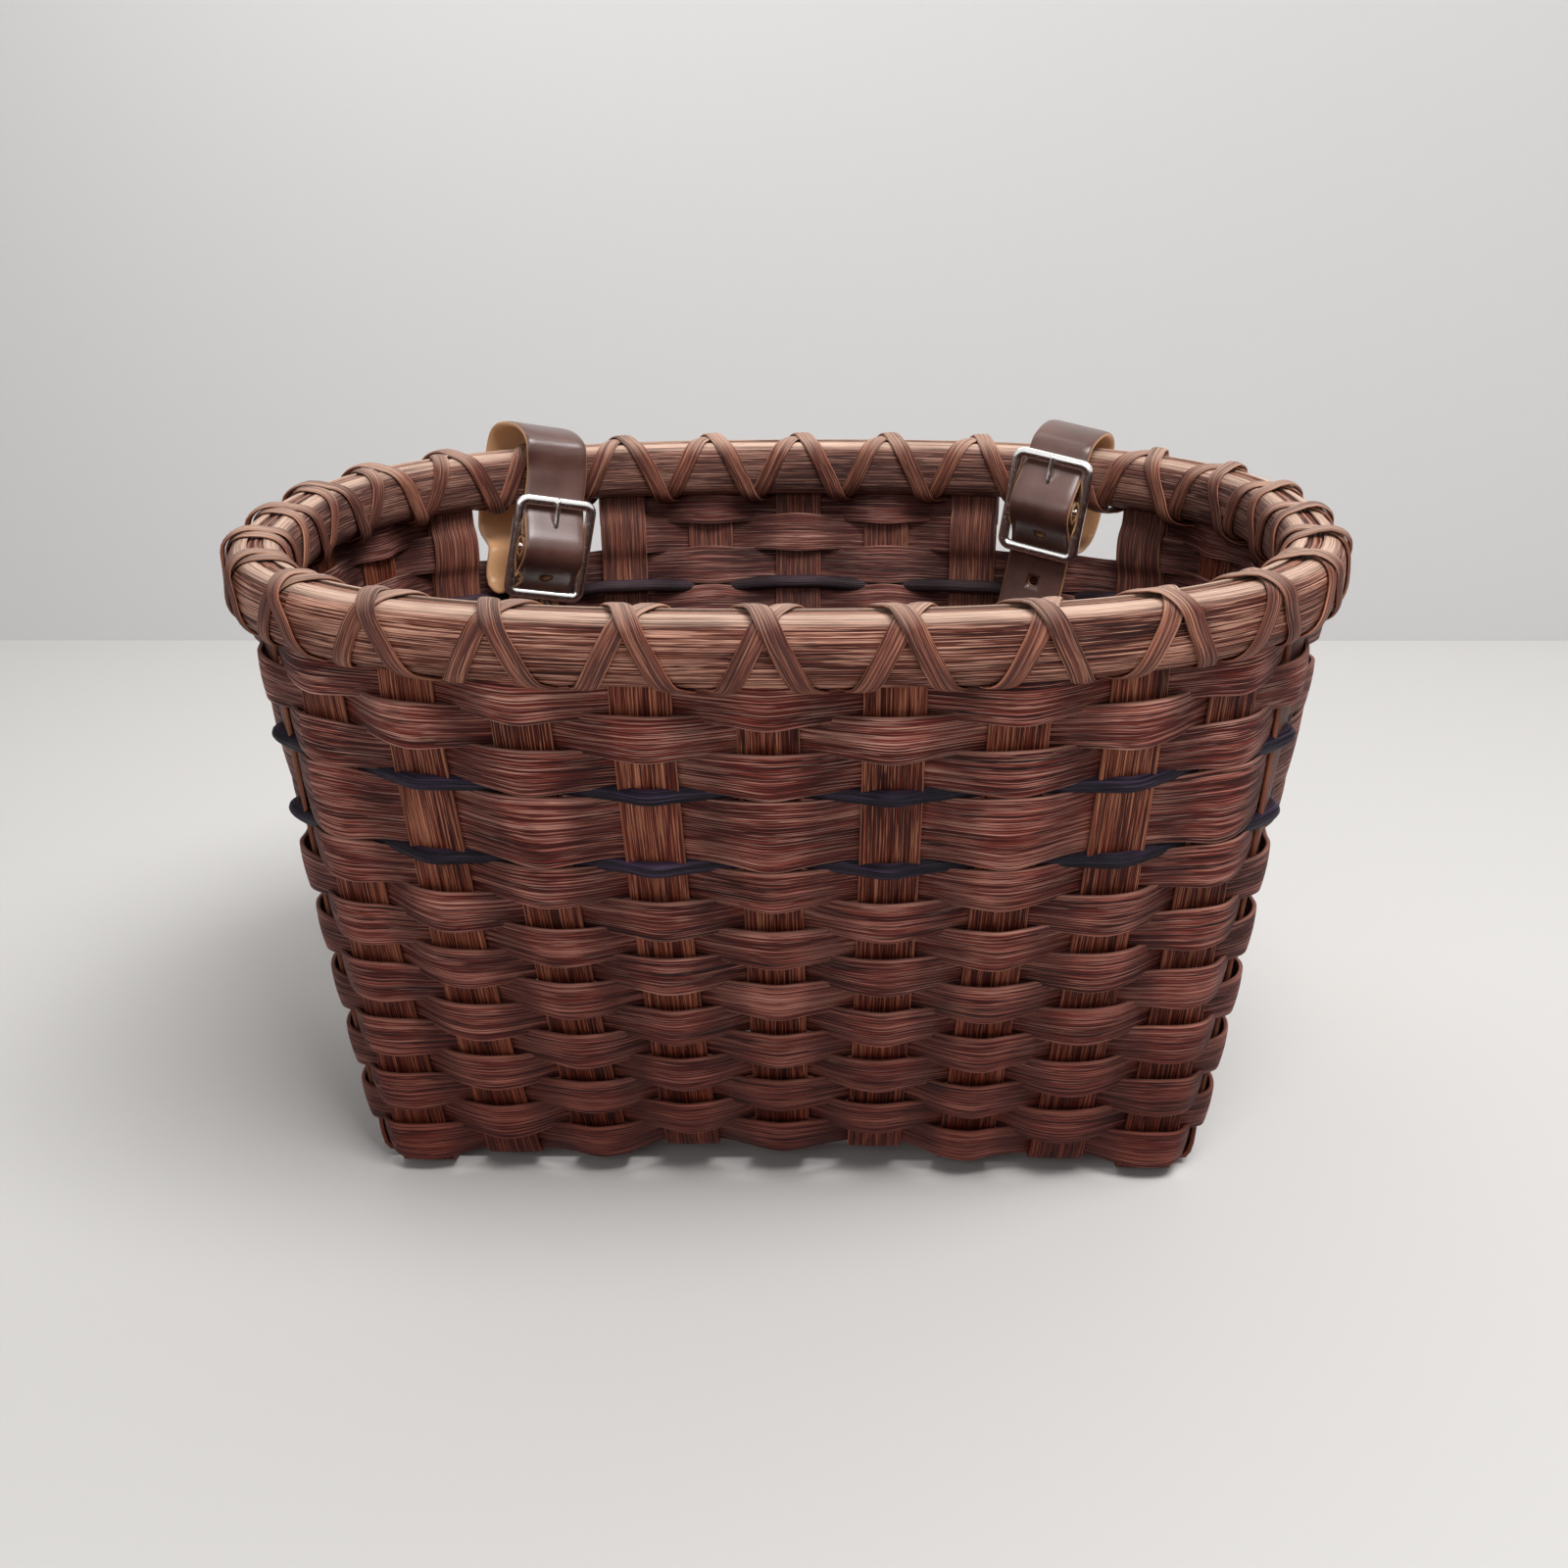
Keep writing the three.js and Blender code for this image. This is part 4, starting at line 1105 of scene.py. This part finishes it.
def add_rivet(name, place):
    axis = Vector((0, 1, PAIR_SLOPE)).normalized()
    middle = Vector((0, FOLD_RADIUS + PAIR_SLOPE * (RIVET_TOP + RIVET_ROOM / 2) - PAIR_REACH / 2,
                     -RIVET_TOP - RIVET_ROOM / 2))
    head = [(0.5, 0.8), (1, 0.85), (0.85, 1.0), (0.5, 1.12), (0, 1.15)]
    profile = [(reach, -height) for reach, height in reversed(head)] + head
    bm = new_mesh()
    verts = []
    for reach, height in profile:
        verts.append(bm.verts.new((reach * RIVET_RADIUS * MM, 0, height * RIVET_GRIP / 2 * MM)))
    line = [bm.edges.new(pair) for pair in zip(verts, verts[1:])]
    bmesh.ops.spin(
        bm, geom=verts + line, cent=(0, 0, 0), axis=(0, 0, 1), angle=2 * math.pi, steps=ROUND_SIDES,
        use_merge=True)
    bmesh.ops.remove_doubles(bm, verts=bm.verts[:], dist=RIVET_WELD)
    for face in bm.faces:
        face.smooth = True
    turn = axis.to_track_quat("Z", "Y").to_matrix().to_4x4()
    bmesh.ops.transform(bm, matrix=place @ Matrix.Translation(middle * MM) @ turn, verts=bm.verts)
    add_piece(f"nickel_rivet_{name}", bm, nickel, f"strap_{name}_body", f"strap_rivet_{name}")


for strap in straps:
    add_strap(*strap)

# Studio: pale floor, paler than the wall behind it
WALL_BACK = 490
STUDIO_REACH = 4


# Matt paint: even and dull, so the eye goes to the basket
def plain_surface(name, shade):
    material, tree = new_material(name)
    shader = add_node(tree, "ShaderNodeBsdfPrincipled", {"Base Color": colour(shade), "Roughness": 0.85})
    add_node(tree, "ShaderNodeOutputMaterial", {"Surface": shader.outputs[0]})
    return material


def add_plane(name, shade, matrix):
    bm = bmesh.new()
    bmesh.ops.create_grid(bm, x_segments=1, y_segments=1, size=STUDIO_REACH, matrix=matrix)
    mesh = bpy.data.meshes.new(name)
    bm.to_mesh(mesh)
    bm.free()
    mesh.materials.append(plain_surface(name + "_matt_paint", shade))
    plane = bpy.data.objects.new(name, mesh)
    bpy.context.scene.collection.objects.link(plane)


upright_wall = Matrix.Rotation(math.pi / 2, 4, "X")
add_plane("studio_floor", "#DAD8D5", Matrix.Translation((0, WALL_BACK * MM - STUDIO_REACH, 0)))
add_plane("studio_wall", "#D6D5D4", Matrix.Translation((0, WALL_BACK * MM, STUDIO_REACH)) @ upright_wall)


# Light: a large soft lamp high at the front right, a weaker one at the front left, and a wash on the wall
WORLD_LIGHT = 0.2
WORLD_SEEN = 1.0


def add_lamp(name, place, target, size, power):
    lamp = bpy.data.lights.new(name, "AREA")
    lamp.shape = "RECTANGLE"
    lamp.size, lamp.size_y = size
    lamp.energy = power
    holder = bpy.data.objects.new(name, lamp)
    holder.location = place
    holder.rotation_euler = (Vector(target) - Vector(place)).to_track_quat("-Z", "Y").to_euler()
    bpy.context.scene.collection.objects.link(holder)


add_lamp("soft_key", (0.42, -0.5, 1.35), (0, 0, 0.1), (0.9, 0.6), 19)
add_lamp("soft_fill", (-0.3, -1.3, 0.75), (0, 0, 0.1), (0.9, 0.4), 2.4)
add_lamp("wall_wash", (-0.14, 0.2, 0.48), (-0.08, 0.49, 0.08), (0.5, 0.15), 0.5)
world = bpy.data.worlds.new("studio")
bpy.context.scene.world = world
world.use_nodes = True
sky = world.node_tree
sky.nodes.clear()
ray = add_node(sky, "ShaderNodeLightPath")
shine = add_node(
    sky, "ShaderNodeMath", {0: ray.outputs["Is Camera Ray"], 1: ray.outputs["Is Glossy Ray"]},
    operation="ADD")
seen = add_node(
    sky, "ShaderNodeMath", {0: shine.outputs[0], 1: ray.outputs["Is Transmission Ray"]}, operation="ADD")
strength = add_node(
    sky, "ShaderNodeMapRange",
    {"Value": seen.outputs[0], "From Min": 0.0, "From Max": 1.0, "To Min": WORLD_LIGHT, "To Max": WORLD_SEEN})
background = add_node(
    sky, "ShaderNodeBackground", {"Color": colour("#F2F2F5"), "Strength": strength.outputs[0]})
add_node(sky, "ShaderNodeOutputWorld", {"Surface": background.outputs[0]})

# Camera: at the photograph's angle
CAMERA_PLACE = (22.7, -535, 293.8)
CAMERA_PITCH = 0.353
CAMERA_YAW = 0.0446
CAMERA_ROLL = -0.012
CAMERA_LENS = 44.35
SENSOR_WIDTH = 36
right = Vector((math.cos(CAMERA_YAW), math.sin(CAMERA_YAW), 0))
level_ahead = Vector((-math.sin(CAMERA_YAW), math.cos(CAMERA_YAW), 0))
ahead = level_ahead * math.cos(CAMERA_PITCH) - UP * math.sin(CAMERA_PITCH)
above = level_ahead * math.sin(CAMERA_PITCH) + UP * math.cos(CAMERA_PITCH)
rolled_right = right * math.cos(CAMERA_ROLL) + above * math.sin(CAMERA_ROLL)
rolled_above = above * math.cos(CAMERA_ROLL) - right * math.sin(CAMERA_ROLL)
lens = bpy.data.cameras.new("photo_camera")
lens.lens = CAMERA_LENS
lens.sensor_width = SENSOR_WIDTH
camera = bpy.data.objects.new("photo_camera", lens)
camera.matrix_world = Matrix.Translation(Vector(CAMERA_PLACE) * MM) @ Matrix(
    (rolled_right, rolled_above, -ahead)).transposed().to_4x4()
bpy.context.scene.collection.objects.link(camera)
bpy.context.scene.camera = camera
bpy.context.scene.view_settings.view_transform = "Standard"
